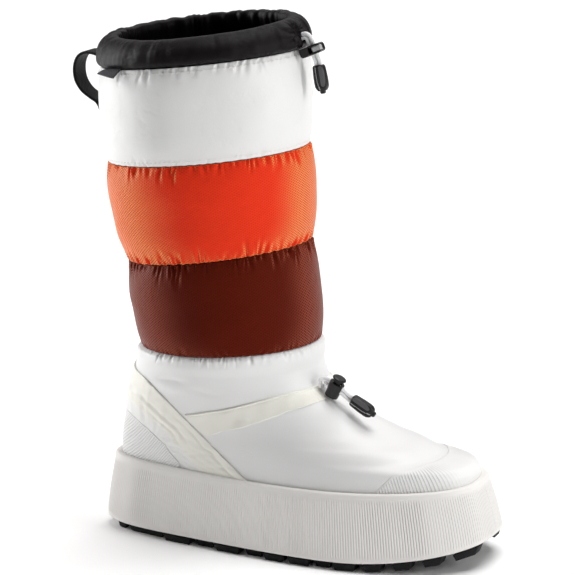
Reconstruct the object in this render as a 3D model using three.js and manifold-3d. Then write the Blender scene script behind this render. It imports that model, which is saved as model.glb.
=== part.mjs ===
// Tall quilted winter boot, right foot, standing empty on its sole.
// Millimetres, +X to the toe, +Y to the wearer's left, +Z up.
import * as THREE from 'three';
import { mergeVertices } from 'three/addons/utils/BufferGeometryUtils.js';
import Module from 'manifold-3d';

const wasm = await Module();
wasm.setup();

// Sole sizes
const soleLength = 300;
const ballWidth = 119;
const heelWidth = 86;
const soleSquareness = 2.79;
const toeSwing = 5;
const heelTop = 57;
const waistTop = 54.3;
const toeTop = 59.7;
const treadDepth = 6.4;
const toeSpring = 13;
const toeSpringStart = 50;
const heelSpring = 0.6;
const heelSpringStart = -90;
const heelInset = 8.5;
const toeInset = 11;
const sideInset = 7;
const rimWidth = 4;
const recessDepth = 8;
const insoleThickness = 5.5;
const heelEase = 1.5;
const ballEase = 1;

// Tread: the plate's edge stands back from the sole's by a thirtieth of its length, the lugs' by their insets
const plateInset = soleLength / 30;
const plateThickness = 1.9;
const lugRoot = 1.2;
const deepLugInset = 1.2;
const shallowLugInset = 4.5;
const sideLugReach = 13;
const lugTaper = 1.5;
const leastLugHalf = 2;
const middleLugCount = 13;
const middleLugSpan = 0.8;
const middleLugFill = 0.55;
const middleLugHalves = [13, 9];

// Height of the ankle seam, then the height of each quilted band and of the cuff
const ankleHeight = 146;
const lowerBand = 66;
const middleBand = 69.6;
const upperBand = 68.4;
const cuffHeight = 21;

// Shaft at its four seams: centre, depth from back to front, width and forward rise
const ankleSeam = { height: ankleHeight, centre: -50.3, depth: 133.8, width: 121, tilt: 0.045 };
const lowerHeight = ankleHeight + lowerBand;
const lowerSeam = { height: lowerHeight, centre: -57.2, depth: 134.8, width: 122, tilt: 0.131 };
const middleHeight = lowerHeight + middleBand;
const middleSeam = { height: middleHeight, centre: -64.4, depth: 147.6, width: 133, tilt: 0.097 };
const collarHeight = middleHeight + upperBand;
const collarSeam = { height: collarHeight, centre: -66.4, depth: 151.4, width: 136, tilt: 0.103 };
const cuffFold = 14.5;
const cuffGather = 1;
const gatherCount = 16;

// Walls, layers and clearances
const upperWall = 4;
const sleeveWall = 3.2;
const panelThickness = 2.5;
const panelPuff = 3.6;
const panelPinch = 0.8;
const puffPower = 2.6;
const ankleRoll = 4;
const anklePuff = 1.4;
const ankleTuck = 0.6;
const overlayThickness = 1.2;
const gap = 0.3;

// Pull loop, side tab, cords and cord locks
const loopWidth = 18;
const loopThickness = 2.2;
const loopReach = 24;
const loopDrop = 47;
const cordDiameter = 2.5;
const cordClearance = 0.35;
const buttonTravel = 2.5;
const barLength = 16.6;
const barHeight = 6.6;
const barDepth = 8.8;
const barCorner = 2;
const barrelDiameter = 11;
const barrelHeight = 11;
const toggleLength = 20;
const toggleWidth = 9.6;
const toggleDepth = 7;
const entryDepth = 7.5;

// Mesh fineness
const aroundCount = 32;
const soleAroundCount = 48;

// Foot between the sole's crease and the ankle seam. Rise is a share of that height. The other
// columns blend from the sole's outline, 0, to the ankle seam's ring, 1. Square is the outline's power.
const footSections = [
  { rise: -0.2, heel: 0, toe: 0, heelSide: 0, ballSide: 0, square: 2.7 },
  { rise: 0, heel: 0, toe: 0, heelSide: 0, ballSide: 0, square: 2.7 },
  { rise: 0.07, heel: 0, toe: 0, heelSide: 0.02, ballSide: 0, square: 2.7 },
  { rise: 0.13, heel: 0.02, toe: 0.025, heelSide: 0.05, ballSide: -0.02, square: 2.65 },
  { rise: 0.19, heel: 0.06, toe: 0.225, heelSide: 0.1, ballSide: -0.06, square: 2.6 },
  { rise: 0.235, heel: 0.1, toe: 0.29, heelSide: 0.15, ballSide: -0.12, square: 2.5 },
  { rise: 0.268, heel: 0.13, toe: 0.347, heelSide: 0.19, ballSide: -0.19, square: 2.45 },
  { rise: 0.292, heel: 0.155, toe: 0.41, heelSide: 0.22, ballSide: -0.24, square: 2.4 },
  { rise: 0.33, heel: 0.19, toe: 0.485, heelSide: 0.27, ballSide: -0.3, square: 2.35 },
  { rise: 0.4, heel: 0.25, toe: 0.615, heelSide: 0.37, ballSide: -0.36, square: 2.3 },
  { rise: 0.47, heel: 0.32, toe: 0.707, heelSide: 0.47, ballSide: -0.36, square: 2.25 },
  { rise: 0.545, heel: 0.41, toe: 0.785, heelSide: 0.57, ballSide: -0.26, square: 2.2 },
  { rise: 0.635, heel: 0.54, toe: 0.873, heelSide: 0.69, ballSide: 0.02, square: 2.1 },
  { rise: 0.725, heel: 0.67, toe: 0.953, heelSide: 0.8, ballSide: 0.4, square: 2.05 },
  { rise: 0.86, heel: 0.84, toe: 0.99, heelSide: 0.92, ballSide: 0.8, square: 2 },
  { rise: 1, heel: 1, toe: 1, heelSide: 1, ballSide: 1, square: 2 },
];

// Side of the midsole: rise is a share of its height, inset a share of the named insets
const midsoleProfile = [
  { rise: 0, inset: 0.12 },
  { rise: 0.025, inset: 0 },
  { rise: 0.35, inset: 0.2 },
  { rise: 0.7, inset: 0.56 },
  { rise: 0.94, inset: 0.86 },
  { rise: 1, inset: 1.12 },
];

// Lugs of the outside edge, from heel to toe, as shares of the half length. Deep ones reach
// the sole's edge, the others stand back from it.
const sideLugs = [
  { from: -0.909, to: -0.85, deep: false },
  { from: -0.829, to: -0.62, deep: false },
  { from: -0.605, to: -0.448, deep: true },
  { from: -0.425, to: -0.325, deep: false },
  { from: -0.309, to: -0.167, deep: true },
  { from: -0.145, to: -0.05, deep: false },
  { from: -0.035, to: 0.075, deep: true },
  { from: 0.096, to: 0.213, deep: true },
  { from: 0.229, to: 0.315, deep: false },
  { from: 0.33, to: 0.443, deep: true },
  { from: 0.476, to: 0.565, deep: true },
  { from: 0.616, to: 0.701, deep: true },
  { from: 0.749, to: 0.832, deep: true },
  { from: 0.876, to: 0.965, deep: true },
];

const clamp = (value, low, high) => Math.min(Math.max(value, low), high);

function smoothStep(value) {
  const t = clamp(value, 0, 1);
  return t * t * (3 - 2 * t);
}

// Smooth curve through the rows of a table that never overshoots them
function throughRows(places, values, place) {
  const last = places.length - 1;
  const steps = places.slice(1).map((p, i) => p - places[i]);
  const slopes = steps.map((step, i) => (values[i + 1] - values[i]) / step);
  const tangents = places.map((_, i) => {
    if (i === 0) return slopes[0];
    if (i === last) return slopes[last - 1];
    const before = slopes[i - 1];
    const after = slopes[i];
    if (before * after <= 0) return 0;
    const wideBefore = steps[i - 1];
    const wideAfter = steps[i];
    const weight = (2 * wideAfter + wideBefore) / before + (wideAfter + 2 * wideBefore) / after;
    return (3 * (wideBefore + wideAfter)) / weight;
  });
  let k = 0;
  while (k < last - 1 && place >= places[k + 1]) k += 1;
  const t = (place - places[k]) / steps[k];
  const s = 1 - t;
  return (1 + 2 * t) * s * s * values[k] + t * s * s * steps[k] * tangents[k]
    + t * t * (3 - 2 * t) * values[k + 1] + t * t * (t - 1) * steps[k] * tangents[k + 1];
}

// Places along the sole, as shares of its length from its middle
const waistShares = { heelEnd: -0.366, ballStart: 0.234 };
const swingStart = -0.067;

// Half width of the foot or sole at a place along it
function halfWidth(x, heelHalf, ballHalf) {
  const along = (x / soleLength - waistShares.heelEnd) / (waistShares.ballStart - waistShares.heelEnd);
  return heelHalf + (ballHalf - heelHalf) * smoothStep(along);
}

// How far the centre line leans to the inner side toward the toe
function swingAt(x) {
  const along = clamp((x / soleLength - swingStart) / (0.5 - swingStart), 0, 1);
  return toeSwing * along * along;
}

const sectionSeams = [lowerSeam, middleSeam, collarSeam];
const footHeelHalf = heelWidth / 2 - sideInset - rimWidth + heelEase;
const footBallHalf = ballWidth / 2 - sideInset - rimWidth + ballEase;
const footHeelX = -soleLength / 2 + heelInset + rimWidth;
const footToeX = soleLength / 2 - toeInset - rimWidth;

function seamRow(seam) {
  return {
    level: seam.height,
    heelX: seam.centre - seam.depth / 2,
    toeX: seam.centre + seam.depth / 2,
    heelHalf: seam.width / 2,
    ballHalf: seam.width / 2,
    square: 2,
    swing: 0,
    tilt: seam.tilt,
  };
}

const riseLevel = (rise) => heelTop + rise * (ankleSeam.height - heelTop);
const leanStart = 0.6;

function footRow(row) {
  const seam = seamRow(ankleSeam);
  const blend = (from, to, share) => from + (to - from) * share;
  return {
    level: riseLevel(row.rise),
    heelX: blend(footHeelX, seam.heelX, row.heel),
    toeX: blend(footToeX, seam.toeX, row.toe),
    heelHalf: blend(footHeelHalf, seam.heelHalf, row.heelSide),
    ballHalf: blend(footBallHalf, seam.ballHalf, row.ballSide),
    square: row.square,
    swing: 1 - clamp(row.toe, 0, 1),
    tilt: ankleSeam.tilt * smoothStep((row.rise - leanStart) / (1 - leanStart)),
  };
}

const formRows = [...footSections.map(footRow), ...sectionSeams.map(seamRow)];
const formLevels = formRows.map((row) => row.level);
const formColumns = {};
for (const name of ['heelX', 'toeX', 'heelHalf', 'ballHalf', 'square', 'swing', 'tilt']) {
  formColumns[name] = formRows.map((row) => row[name]);
}

const topLevel = collarSeam.height;

function sectionAt(level) {
  const inside = Math.min(level, topLevel);
  const section = {};
  for (const name of Object.keys(formColumns)) {
    section[name] = throughRows(formLevels, formColumns[name], inside);
  }
  return section;
}

function signedPower(value, power) {
  return Math.sign(value) * Math.abs(value) ** power;
}

// A point of the boot's outer form: level runs up the boot, angle around it from the toe
function formPoint(level, angle) {
  const section = sectionAt(level);
  const centre = (section.heelX + section.toeX) / 2;
  const reach = (section.toeX - section.heelX) / 2;
  const x = centre + reach * signedPower(Math.cos(angle), 2 / section.square);
  const side = halfWidth(x, section.heelHalf, section.ballHalf);
  const y = swingAt(x) * section.swing + side * signedPower(Math.sin(angle), 2 / section.square);
  return new THREE.Vector3(x, y, level + (x - centre) * section.tilt);
}

// The same point moved out along the form's own normal
function offsetPoint(level, angle, out) {
  const nudge = 0.02;
  const rise = 0.1;
  const low = Math.min(level, topLevel - rise);
  const around = formPoint(low, angle + nudge).sub(formPoint(low, angle - nudge));
  const up = formPoint(low + rise, angle).sub(formPoint(low - rise, angle));
  const normal = around.cross(up).normalize();
  return formPoint(level, angle).addScaledVector(normal, out);
}

function formRing(level, out, count = aroundCount) {
  return Array.from({ length: count }, (_, i) => {
    const angle = (i / count) * Math.PI * 2;
    const move = typeof out === 'function' ? out(angle) : out;
    return offsetPoint(level, angle, move);
  });
}

// Closed surface from points and triangles, turned so that its faces look out
function surface(points, triangles) {
  let volume = 0;
  for (let i = 0; i < triangles.length; i += 3) {
    const [a, b, c] = triangles.slice(i, i + 3).map((index) => points[index]);
    volume += a.dot(b.clone().cross(c));
  }
  const geometry = new THREE.BufferGeometry();
  geometry.setAttribute('position', new THREE.Float32BufferAttribute(points.flatMap((p) => p.toArray()), 3));
  geometry.setIndex(volume < 0 ? [...triangles].reverse() : triangles);
  return geometry;
}

// Rings joined one to the next and the last to the first: a wall with a hollow inside
function wallLoop(rings) {
  const count = rings[0].length;
  const triangles = [];
  for (let r = 0; r < rings.length; r += 1) {
    const next = (r + 1) % rings.length;
    for (let i = 0; i < count; i += 1) {
      const j = (i + 1) % count;
      triangles.push(r * count + i, r * count + j, next * count + j);
      triangles.push(r * count + i, next * count + j, next * count + i);
    }
  }
  return surface(rings.flat(), triangles);
}

// Rings joined upward and closed at both ends by strips across, so a bent end stays smooth
function solidLoft(rings) {
  const count = rings[0].length;
  const half = count / 2;
  const triangles = [];
  for (let r = 0; r + 1 < rings.length; r += 1) {
    for (let i = 0; i < count; i += 1) {
      const j = (i + 1) % count;
      triangles.push(r * count + i, r * count + j, (r + 1) * count + j);
      triangles.push(r * count + i, (r + 1) * count + j, (r + 1) * count + i);
    }
  }
  const closeEnd = (start, up) => {
    for (let i = 0; i < half; i += 1) {
      const a = start + i;
      const b = start + i + 1;
      const c = start + ((count - i - 1) % count);
      const d = start + ((count - i) % count);
      const corners = [[a, b, c], [a, c, d]];
      for (const [p, q, s] of corners) {
        if (p !== q && q !== s && p !== s) triangles.push(...(up ? [p, q, s] : [p, s, q]));
      }
    }
  };
  closeEnd(0, false);
  closeEnd((rings.length - 1) * count, true);
  return surface(rings.flat(), triangles);
}

// A closed sheet between an inner and an outer grid of the same rows and columns
function sheetBetween(inner, outer) {
  const rows = inner.length;
  const columns = inner[0].length;
  const shift = rows * columns;
  const at = (r, c) => r * columns + c;
  const triangles = [];
  const quad = (a, b, c, d) => triangles.push(a, b, c, a, c, d);
  const right = columns - 1;
  for (let r = 0; r + 1 < rows; r += 1) {
    for (let c = 0; c + 1 < columns; c += 1) {
      quad(at(r, c), at(r + 1, c), at(r + 1, c + 1), at(r, c + 1));
      quad(at(r, c) + shift, at(r, c + 1) + shift, at(r + 1, c + 1) + shift, at(r + 1, c) + shift);
    }
  }
  for (let c = 0; c + 1 < columns; c += 1) {
    quad(at(0, c), at(0, c + 1), at(0, c + 1) + shift, at(0, c) + shift);
    quad(at(rows - 1, c + 1), at(rows - 1, c), at(rows - 1, c) + shift, at(rows - 1, c + 1) + shift);
  }
  for (let r = 0; r + 1 < rows; r += 1) {
    quad(at(r + 1, 0), at(r, 0), at(r, 0) + shift, at(r + 1, 0) + shift);
    quad(at(r, right), at(r + 1, right), at(r + 1, right) + shift, at(r, right) + shift);
  }
  return surface([...inner.flat(), ...outer.flat()], triangles);
}

function toSolid(geometry) {
  const bare = geometry.clone();
  bare.deleteAttribute('normal');
  bare.deleteAttribute('uv');
  const merged = mergeVertices(bare, 1e-5);
  const vertProperties = new Float32Array(merged.attributes.position.array);
  const triVerts = new Uint32Array(merged.index.array);
  return new wasm.Manifold(new wasm.Mesh({ numProp: 3, vertProperties, triVerts }));
}

function toGeometry(solid) {
  const mesh = solid.getMesh();
  const geometry = new THREE.BufferGeometry();
  geometry.setAttribute('position', new THREE.Float32BufferAttribute(mesh.vertProperties, 3));
  geometry.setIndex(Array.from(mesh.triVerts));
  return geometry;
}

function joinAll(geometries) {
  return geometries.map(toSolid).reduce((sum, solid) => sum.add(solid));
}

function cutAway(geometry, cutters) {
  return toGeometry(cutters.map(toSolid).reduce((left, cutter) => left.subtract(cutter), toSolid(geometry)));
}

// Outline of the sole at an inset, as a share of the named insets plus a plain distance
function solePoint(angle, insetShare, inset) {
  const power = 2 / soleSquareness;
  const along = signedPower(Math.cos(angle), power);
  const endInset = insetShare * (along > 0 ? toeInset : heelInset) + inset;
  const x = (soleLength / 2 - endInset) * along;
  const side = halfWidth(x, heelWidth / 2, ballWidth / 2) - insetShare * sideInset - inset;
  return { x, y: swingAt(x) + side * signedPower(Math.sin(angle), power) };
}

function springAt(x) {
  const toe = clamp((x - toeSpringStart) / (soleLength / 2 - toeSpringStart), 0, 1);
  const heel = clamp((heelSpringStart - x) / (soleLength / 2 + heelSpringStart), 0, 1);
  return toeSpring * toe * toe + heelSpring * heel * heel;
}

function creaseAt(x) {
  const t = x / soleLength + 0.5;
  return heelTop * (1 - t) * (1 - 2 * t) + 4 * waistTop * t * (1 - t) + toeTop * t * (2 * t - 1);
}

function soleRing(insetShare, inset, heightAt) {
  return Array.from({ length: soleAroundCount }, (_, i) => {
    const point = solePoint((i / soleAroundCount) * Math.PI * 2, insetShare, inset);
    return new THREE.Vector3(point.x, point.y, heightAt(point.x));
  });
}

// The midsole's outer block, raised and grown by a clearance where it serves to trim what meets it
function midsoleBlock(clearance) {
  const rings = midsoleProfile.map((row) => soleRing(row.inset, -clearance, (x) => {
    const low = treadDepth + springAt(x);
    return low + (creaseAt(x) - low) * row.rise + clearance;
  }));
  return solidLoft(rings);
}

const recessFloor = waistTop - recessDepth;

// Straight-sided block of the upper's footprint, used for the recess and the insole
function footprintBlock(out, low, high) {
  const ring = formRing(heelTop, out);
  return solidLoft([low, high].map((z) => ring.map((p) => new THREE.Vector3(p.x, p.y, z))));
}

function makeMidsole() {
  const recess = footprintBlock(gap, recessFloor, toeTop + recessDepth);
  return cutAway(midsoleBlock(0), [recess]);
}

function makeInsole() {
  const bottom = recessFloor + gap;
  return footprintBlock(-upperWall - gap, bottom, bottom + insoleThickness);
}

// The tread's plate lies just under the midsole, and each lug is rooted in it
const plateTop = treadDepth - gap;
const plateBottom = plateTop - plateThickness;
const lugTop = plateBottom + lugRoot;

// One lug: a block between two places along the sole, from its edge inward, lower end drawn in
function lugBlock(from, to, edgeInset, side) {
  const ring = (z, draw) => [
    [from + draw, edgeInset + draw],
    [to - draw, edgeInset + draw],
    [to - draw, edgeInset + sideLugReach - draw],
    [from + draw, edgeInset + sideLugReach - draw],
  ].map(([x, inset]) => {
    const share = clamp(Math.abs(x) / (soleLength / 2), 0, 0.999);
    const bow = (1 - share ** soleSquareness) ** (1 / soleSquareness);
    const half = halfWidth(x, heelWidth / 2, ballWidth / 2) * bow;
    const y = swingAt(x) + side * Math.max(half - inset, leastLugHalf);
    return new THREE.Vector3(x, y, z + springAt(x));
  });
  return solidLoft([ring(0, lugTaper), ring(lugTop, 0)]);
}

function makeOutsole() {
  const plate = solidLoft([plateBottom, plateTop].map((z) => soleRing(0, plateInset, (x) => z + springAt(x))));
  const halfLength = soleLength / 2;
  const lugs = [-1, 1].flatMap((side) => sideLugs.map((row) => {
    const inset = row.deep ? deepLugInset : shallowLugInset;
    return lugBlock(row.from * halfLength, row.to * halfLength, inset, side);
  }));
  const span = soleLength * middleLugSpan;
  const pitch = span / middleLugCount;
  for (let i = 0; i < middleLugCount; i += 1) {
    const place = pitch * (i + 0.5) - span / 2;
    const width = 2 * middleLugHalves[i % middleLugHalves.length];
    const block = new THREE.BoxGeometry(pitch * middleLugFill, width, lugTop);
    block.translate(place, swingAt(place), lugTop / 2 + springAt(place));
    lugs.push(block);
  }
  return toGeometry(joinAll([plate, ...lugs]));
}

const seamStep = panelThickness + gap;
const sleeveInside = seamStep + sleeveWall;

const upperBottom = recessFloor + gap;
const footLevels = footSections
  .map((row) => riseLevel(row.rise))
  .filter((level) => level > heelTop && level < ankleSeam.height - ankleRoll);

// Outer rings of the foot from its lower edge to the ankle seam, moved out by a distance
function footRings(out) {
  const plain = [upperBottom, heelTop, ...footLevels].map((level) => formRing(level, out));
  const roll = formRing(ankleSeam.height - ankleRoll, out + anklePuff);
  return [...plain, roll, formRing(ankleSeam.height - gap, out - ankleTuck)];
}

// Foot and shaft lining in one hollow wall: open at the collar and underneath
function makeUpper() {
  const seamLevels = [ankleSeam, lowerSeam, middleSeam, collarSeam].map((seam) => seam.height);
  const outer = [...footRings(0), ...seamLevels.map((level) => formRing(level, -seamStep))];
  const inner = [...seamLevels].reverse().map((level) => formRing(level, -sleeveInside));
  const innerLevels = footLevels.filter((_, i) => i % 2 === 1).reverse();
  inner.push(...innerLevels.map((level) => {
    const share = smoothStep((level - heelTop) / (ankleSeam.height - heelTop));
    return formRing(level, -upperWall - (sleeveInside - upperWall) * share * share);
  }));
  inner.push(formRing(heelTop, -upperWall), formRing(upperBottom, -upperWall));
  return wallLoop([...outer, ...inner]);
}

// Padded panel between two seams: thin at its stitched edges, puffed between them
function makePanel(lowSeam, highSeam) {
  const low = lowSeam.height + gap;
  const high = highSeam.height - gap;
  const shares = [0, 0.08, 0.27, 0.5, 0.73, 0.92, 1];
  const puff = (share) => panelPuff * (1 - Math.abs(2 * share - 1) ** puffPower) - panelPinch;
  const outer = shares.map((share) => formRing(low + (high - low) * share, puff(share)));
  const inner = [high, low].map((level) => formRing(level, gap - seamStep));
  return wallLoop([...outer, ...inner]);
}

// Gathered cuff: up from the collar seam, over the drawcord rim and down inside. Up is a share of
// the cuff's height, out a share of its fold from the seam's ring, ripple a share of the gather.
const cuffProfile = [
  { up: 0, out: -0.07, ripple: 0.1 },
  { up: 0.16, out: 0.11, ripple: 0.4 },
  { up: 0.42, out: 0.085, ripple: 0.7 },
  { up: 0.7, out: -0.21, ripple: 1 },
  { up: 0.92, out: -0.52, ripple: 1 },
  { up: 1, out: -0.79, ripple: 0.8 },
  { up: 0.93, out: -1, ripple: 0.8 },
  { up: 0.45, out: -0.86, ripple: 0.4 },
];

// The rim stands higher at the back and inner side than at the outer side: degrees from the toe
// and millimetres above the cuff's height
const rimRows = [
  { angle: -180, lift: 2.4 },
  { angle: -140, lift: 0.6 },
  { angle: -95, lift: -1.8 },
  { angle: -45, lift: -1.5 },
  { angle: -12, lift: 0 },
  { angle: 30, lift: 1.2 },
  { angle: 90, lift: 3.8 },
  { angle: 140, lift: 3.6 },
  { angle: 180, lift: 2.4 },
];

function rimLift(turned) {
  return throughRows(rimRows.map((row) => row.angle), rimRows.map((row) => row.lift), turned);
}

function makeCuff() {
  const around = gatherCount * 3;
  const low = collarSeam.height + gap;
  const rings = cuffProfile.map((row) => {
    const ring = formRing(low + row.up * (cuffHeight - gap), (angle) => {
      const wave = Math.cos(angle * gatherCount);
      return row.out * cuffFold + wave * cuffGather * row.ripple;
    }, around);
    return ring.map((point, i) => {
      const turned = (((i / around) * 360 + 180) % 360) - 180;
      return point.setZ(point.z + rimLift(turned) * smoothStep(row.up));
    });
  });
  return wallLoop([...rings, formRing(low, -sleeveInside, around)]);
}

const degrees = THREE.MathUtils.degToRad;

// Heel strap from the sole's outer side round the back to its inner side. Each row gives the
// rear and front edge: an angle from the toe in degrees and a rise as a share of the foot's height.
const heelStrapRows = [
  { rearAngle: 180, rearRise: 0.385, frontAngle: 180, frontRise: 0.8 },
  { rearAngle: 165, rearRise: 0.38, frontAngle: 163, frontRise: 0.795 },
  { rearAngle: 152.3, rearRise: 0.371, frontAngle: 149.1, frontRise: 0.78 },
  { rearAngle: 141.3, rearRise: 0.334, frontAngle: 132.9, frontRise: 0.753 },
  { rearAngle: 134.5, rearRise: 0.29, frontAngle: 125.4, frontRise: 0.717 },
  { rearAngle: 129.2, rearRise: 0.244, frontAngle: 116.2, frontRise: 0.625 },
  { rearAngle: 126.6, rearRise: 0.216, frontAngle: 110.4, frontRise: 0.543 },
  { rearAngle: 124.3, rearRise: 0.184, frontAngle: 106.5, frontRise: 0.458 },
  { rearAngle: 123.9, rearRise: 0.14, frontAngle: 104.3, frontRise: 0.379 },
  { rearAngle: 122.6, rearRise: 0.117, frontAngle: 103, frontRise: 0.298 },
  { rearAngle: 121.3, rearRise: 0.094, frontAngle: 101.1, frontRise: 0.22 },
  { rearAngle: 120.3, rearRise: 0.077, frontAngle: 100, frontRise: 0.181 },
  { rearAngle: 119.3, rearRise: 0.061, frontAngle: 100.8, frontRise: 0.143 },
  { rearAngle: 118.3, rearRise: 0.042, frontAngle: 99.6, frontRise: 0.106 },
  { rearAngle: 117.3, rearRise: 0.022, frontAngle: 98.1, frontRise: 0.07 },
  { rearAngle: 115.4, rearRise: -0.005, frontAngle: 96.8, frontRise: 0.033 },
  { rearAngle: 113.5, rearRise: -0.028, frontAngle: 94.8, frontRise: -0.021 },
  { rearAngle: 112, rearRise: -0.05, frontAngle: 93.4, frontRise: -0.05 },
];

// Ankle strap from under the heel strap to the front, same kinds of columns for its two edges
const ankleStrapRows = [
  { lowAngle: 101.2, lowRise: 0.29, highAngle: 104.9, highRise: 0.472 },
  { lowAngle: 97, lowRise: 0.325, highAngle: 98.5, highRise: 0.5 },
  { lowAngle: 90, lowRise: 0.377, highAngle: 87.5, highRise: 0.552 },
  { lowAngle: 75, lowRise: 0.46, highAngle: 74, highRise: 0.607 },
  { lowAngle: 62, lowRise: 0.52, highAngle: 60, highRise: 0.652 },
  { lowAngle: 48, lowRise: 0.571, highAngle: 43, highRise: 0.688 },
  { lowAngle: 31, lowRise: 0.602, highAngle: 27, highRise: 0.702 },
  { lowAngle: 15, lowRise: 0.624, highAngle: 12, highRise: 0.708 },
];

// Top edge of the heel counter and of the toe cap, from the back or the toe to the side
const counterRows = [
  { angle: 180, rise: 0.372 },
  { angle: 165, rise: 0.367 },
  { angle: 152.6, rise: 0.358 },
  { angle: 146.1, rise: 0.34 },
  { angle: 141.8, rise: 0.321 },
  { angle: 135, rise: 0.277 },
  { angle: 129.7, rise: 0.231 },
  { angle: 127.1, rise: 0.203 },
  { angle: 124.9, rise: 0.171 },
  { angle: 123.9, rise: 0.127 },
  { angle: 121.9, rise: 0.081 },
  { angle: 119.9, rise: 0.048 },
  { angle: 117.9, rise: 0.009 },
];
const toeCapRows = [
  { angle: 0, rise: 0.18 },
  { angle: 11, rise: 0.18 },
  { angle: 21, rise: 0.178 },
  { angle: 30, rise: 0.171 },
  { angle: 37.5, rise: 0.163 },
  { angle: 43, rise: 0.157 },
  { angle: 48, rise: 0.146 },
  { angle: 53, rise: 0.127 },
  { angle: 56.5, rise: 0.09 },
  { angle: 59.5, rise: 0.03 },
  { angle: 61.8, rise: -0.025 },
];

// Overlays start below the sole's crease, and the midsole trims them
const overlayFoot = -0.09;

// Overlay between two edges given as lists of angle and level: a layer between two copies of the
// foot's own outer form, kept only where a thick patch with those edges reaches, and clear of the sole
function overlay(lowEdge, highEdge, columns) {
  const shares = Array.from({ length: columns }, (_, i) => i / (columns - 1));
  const grid = (out) => lowEdge.map((low, r) => shares.map((share) => {
    const high = highEdge[r];
    const angle = low.angle + (high.angle - low.angle) * share;
    const level = low.level + (high.level - low.level) * share;
    return offsetPoint(level, angle, out);
  }));
  const patch = toSolid(sheetBetween(grid(-upperWall), grid(upperWall)));
  const form = (out) => toSolid(solidLoft(footRings(out)));
  const layer = form(gap + overlayThickness).subtract(form(gap));
  return toGeometry(layer.intersect(patch).subtract(toSolid(midsoleBlock(gap))));
}

// Mirrors a list of edge points given from the middle outward, so that it runs side to side
function bothSides(edge, middle) {
  const flip = (point) => ({ angle: 2 * middle - point.angle, level: point.level });
  return [...edge.slice(1).reverse(), ...edge.map(flip)];
}

const edgePoint = (angle, rise) => ({ angle: degrees(angle), level: riseLevel(rise) });

function makeHeelStrap() {
  const rear = heelStrapRows.map((row) => edgePoint(row.rearAngle, row.rearRise));
  const front = heelStrapRows.map((row) => edgePoint(row.frontAngle, row.frontRise));
  return overlay(bothSides(rear, Math.PI), bothSides(front, Math.PI), 3);
}

function makeAnkleStrap(side) {
  const place = (angle, rise) => ({ angle: side * degrees(angle), level: riseLevel(rise) });
  const low = ankleStrapRows.map((row) => place(row.lowAngle, row.lowRise));
  const high = ankleStrapRows.map((row) => place(row.highAngle, row.highRise));
  return overlay(low, high, 4);
}

function makeCounter() {
  const high = counterRows.map((row) => edgePoint(row.angle, row.rise));
  const low = counterRows.map((row) => edgePoint(row.angle, overlayFoot));
  return overlay(bothSides(low, Math.PI), bothSides(high, Math.PI), 3);
}

function makeToeCap() {
  const high = toeCapRows.map((row) => edgePoint(row.angle, row.rise));
  const low = toeCapRows.map((row) => edgePoint(row.angle, overlayFoot));
  return overlay(bothSides(low, 0), bothSides(high, 0), 4);
}

// Pull loop at the back of the collar: out is a share of its reach behind the collar seam, up a
// share of its drop from the seam there. Its tail lies flat on the shaft, at two more such drops.
const loopRows = [
  { out: 0.1, up: 0.09 },
  { out: 0.34, up: 0.13 },
  { out: 0.66, up: 0.135 },
  { out: 0.88, up: 0.07 },
  { out: 1, up: -0.085 },
  { out: 0.97, up: -0.287 },
  { out: 0.77, up: -0.447 },
  { out: 0.5, up: -0.545 },
  { out: 0.27, up: -0.62 },
];
const loopTail = [0.81, 1];

function makePullLoop() {
  const seamBack = formPoint(collarSeam.height, Math.PI);
  const bend = loopRows.map((row) => (
    new THREE.Vector2(seamBack.x - row.out * loopReach, seamBack.z + row.up * loopDrop)
  ));
  const onShaft = panelPuff + gap + loopThickness / 2;
  const tail = loopTail.map((share) => {
    const point = offsetPoint(collarSeam.height - share * loopDrop, Math.PI, onShaft);
    return new THREE.Vector2(point.x, point.z);
  });
  const line = new THREE.SplineCurve([...bend, ...tail]).getPoints(24);
  const edge = (side) => line.map((point, i) => {
    const before = line[Math.max(i - 1, 0)];
    const after = line[Math.min(i + 1, line.length - 1)];
    const along = after.clone().sub(before).normalize();
    return new THREE.Vector2(point.x - along.y * side, point.y + along.x * side);
  });
  const half = loopThickness / 2;
  const shape = new THREE.Shape([...edge(half), ...edge(-half).reverse()]);
  const strip = new THREE.ExtrudeGeometry(shape, { depth: loopWidth, bevelEnabled: false, steps: 1 });
  strip.rotateX(Math.PI / 2);
  strip.translate(0, loopWidth / 2, 0);
  return strip;
}

// Small folded tab that stands out of the collar seam at the outer side. Its free edge hangs lower
// at the front than at the rear.
const tabSpan = { from: -133, to: -116.5 };
const tabReach = 7.4;
const tabDroop = { rear: 2.4, front: 4.6 };
const tabThickness = 1.4;
const tabCurve = 1.4;

function makeSideTab() {
  const shares = [0, 0.25, 0.5, 0.75, 1];
  const angles = shares.map((share) => degrees(tabSpan.from + (tabSpan.to - tabSpan.from) * share));
  const grid = (lift) => angles.map((angle, i) => shares.map((share) => {
    const point = offsetPoint(collarSeam.height, angle, (tabReach + gap) * share - gap);
    const droop = tabDroop.rear + (tabDroop.front - tabDroop.rear) * shares[i];
    point.z += lift - droop * share ** tabCurve;
    return point;
  }));
  return sheetBetween(grid(-tabThickness / 2), grid(tabThickness / 2));
}

// Cords run in an upright plane. Two strands lie side by side, each half a spacing from the middle.
const strandSpacing = cordDiameter + 2 * gap;
const slotLength = strandSpacing + cordDiameter + 2 * cordClearance;
const slotWidth = cordDiameter + 2 * cordClearance;

function tubeAlong(points) {
  const profile = new THREE.Shape();
  profile.absarc(0, 0, cordDiameter / 2, 0, Math.PI * 2);
  const path = new THREE.CatmullRomCurve3(points, false, 'centripetal');
  return new THREE.ExtrudeGeometry(profile, {
    extrudePath: path,
    steps: 12,
    curveSegments: 4,
    bevelEnabled: false,
  });
}

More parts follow.
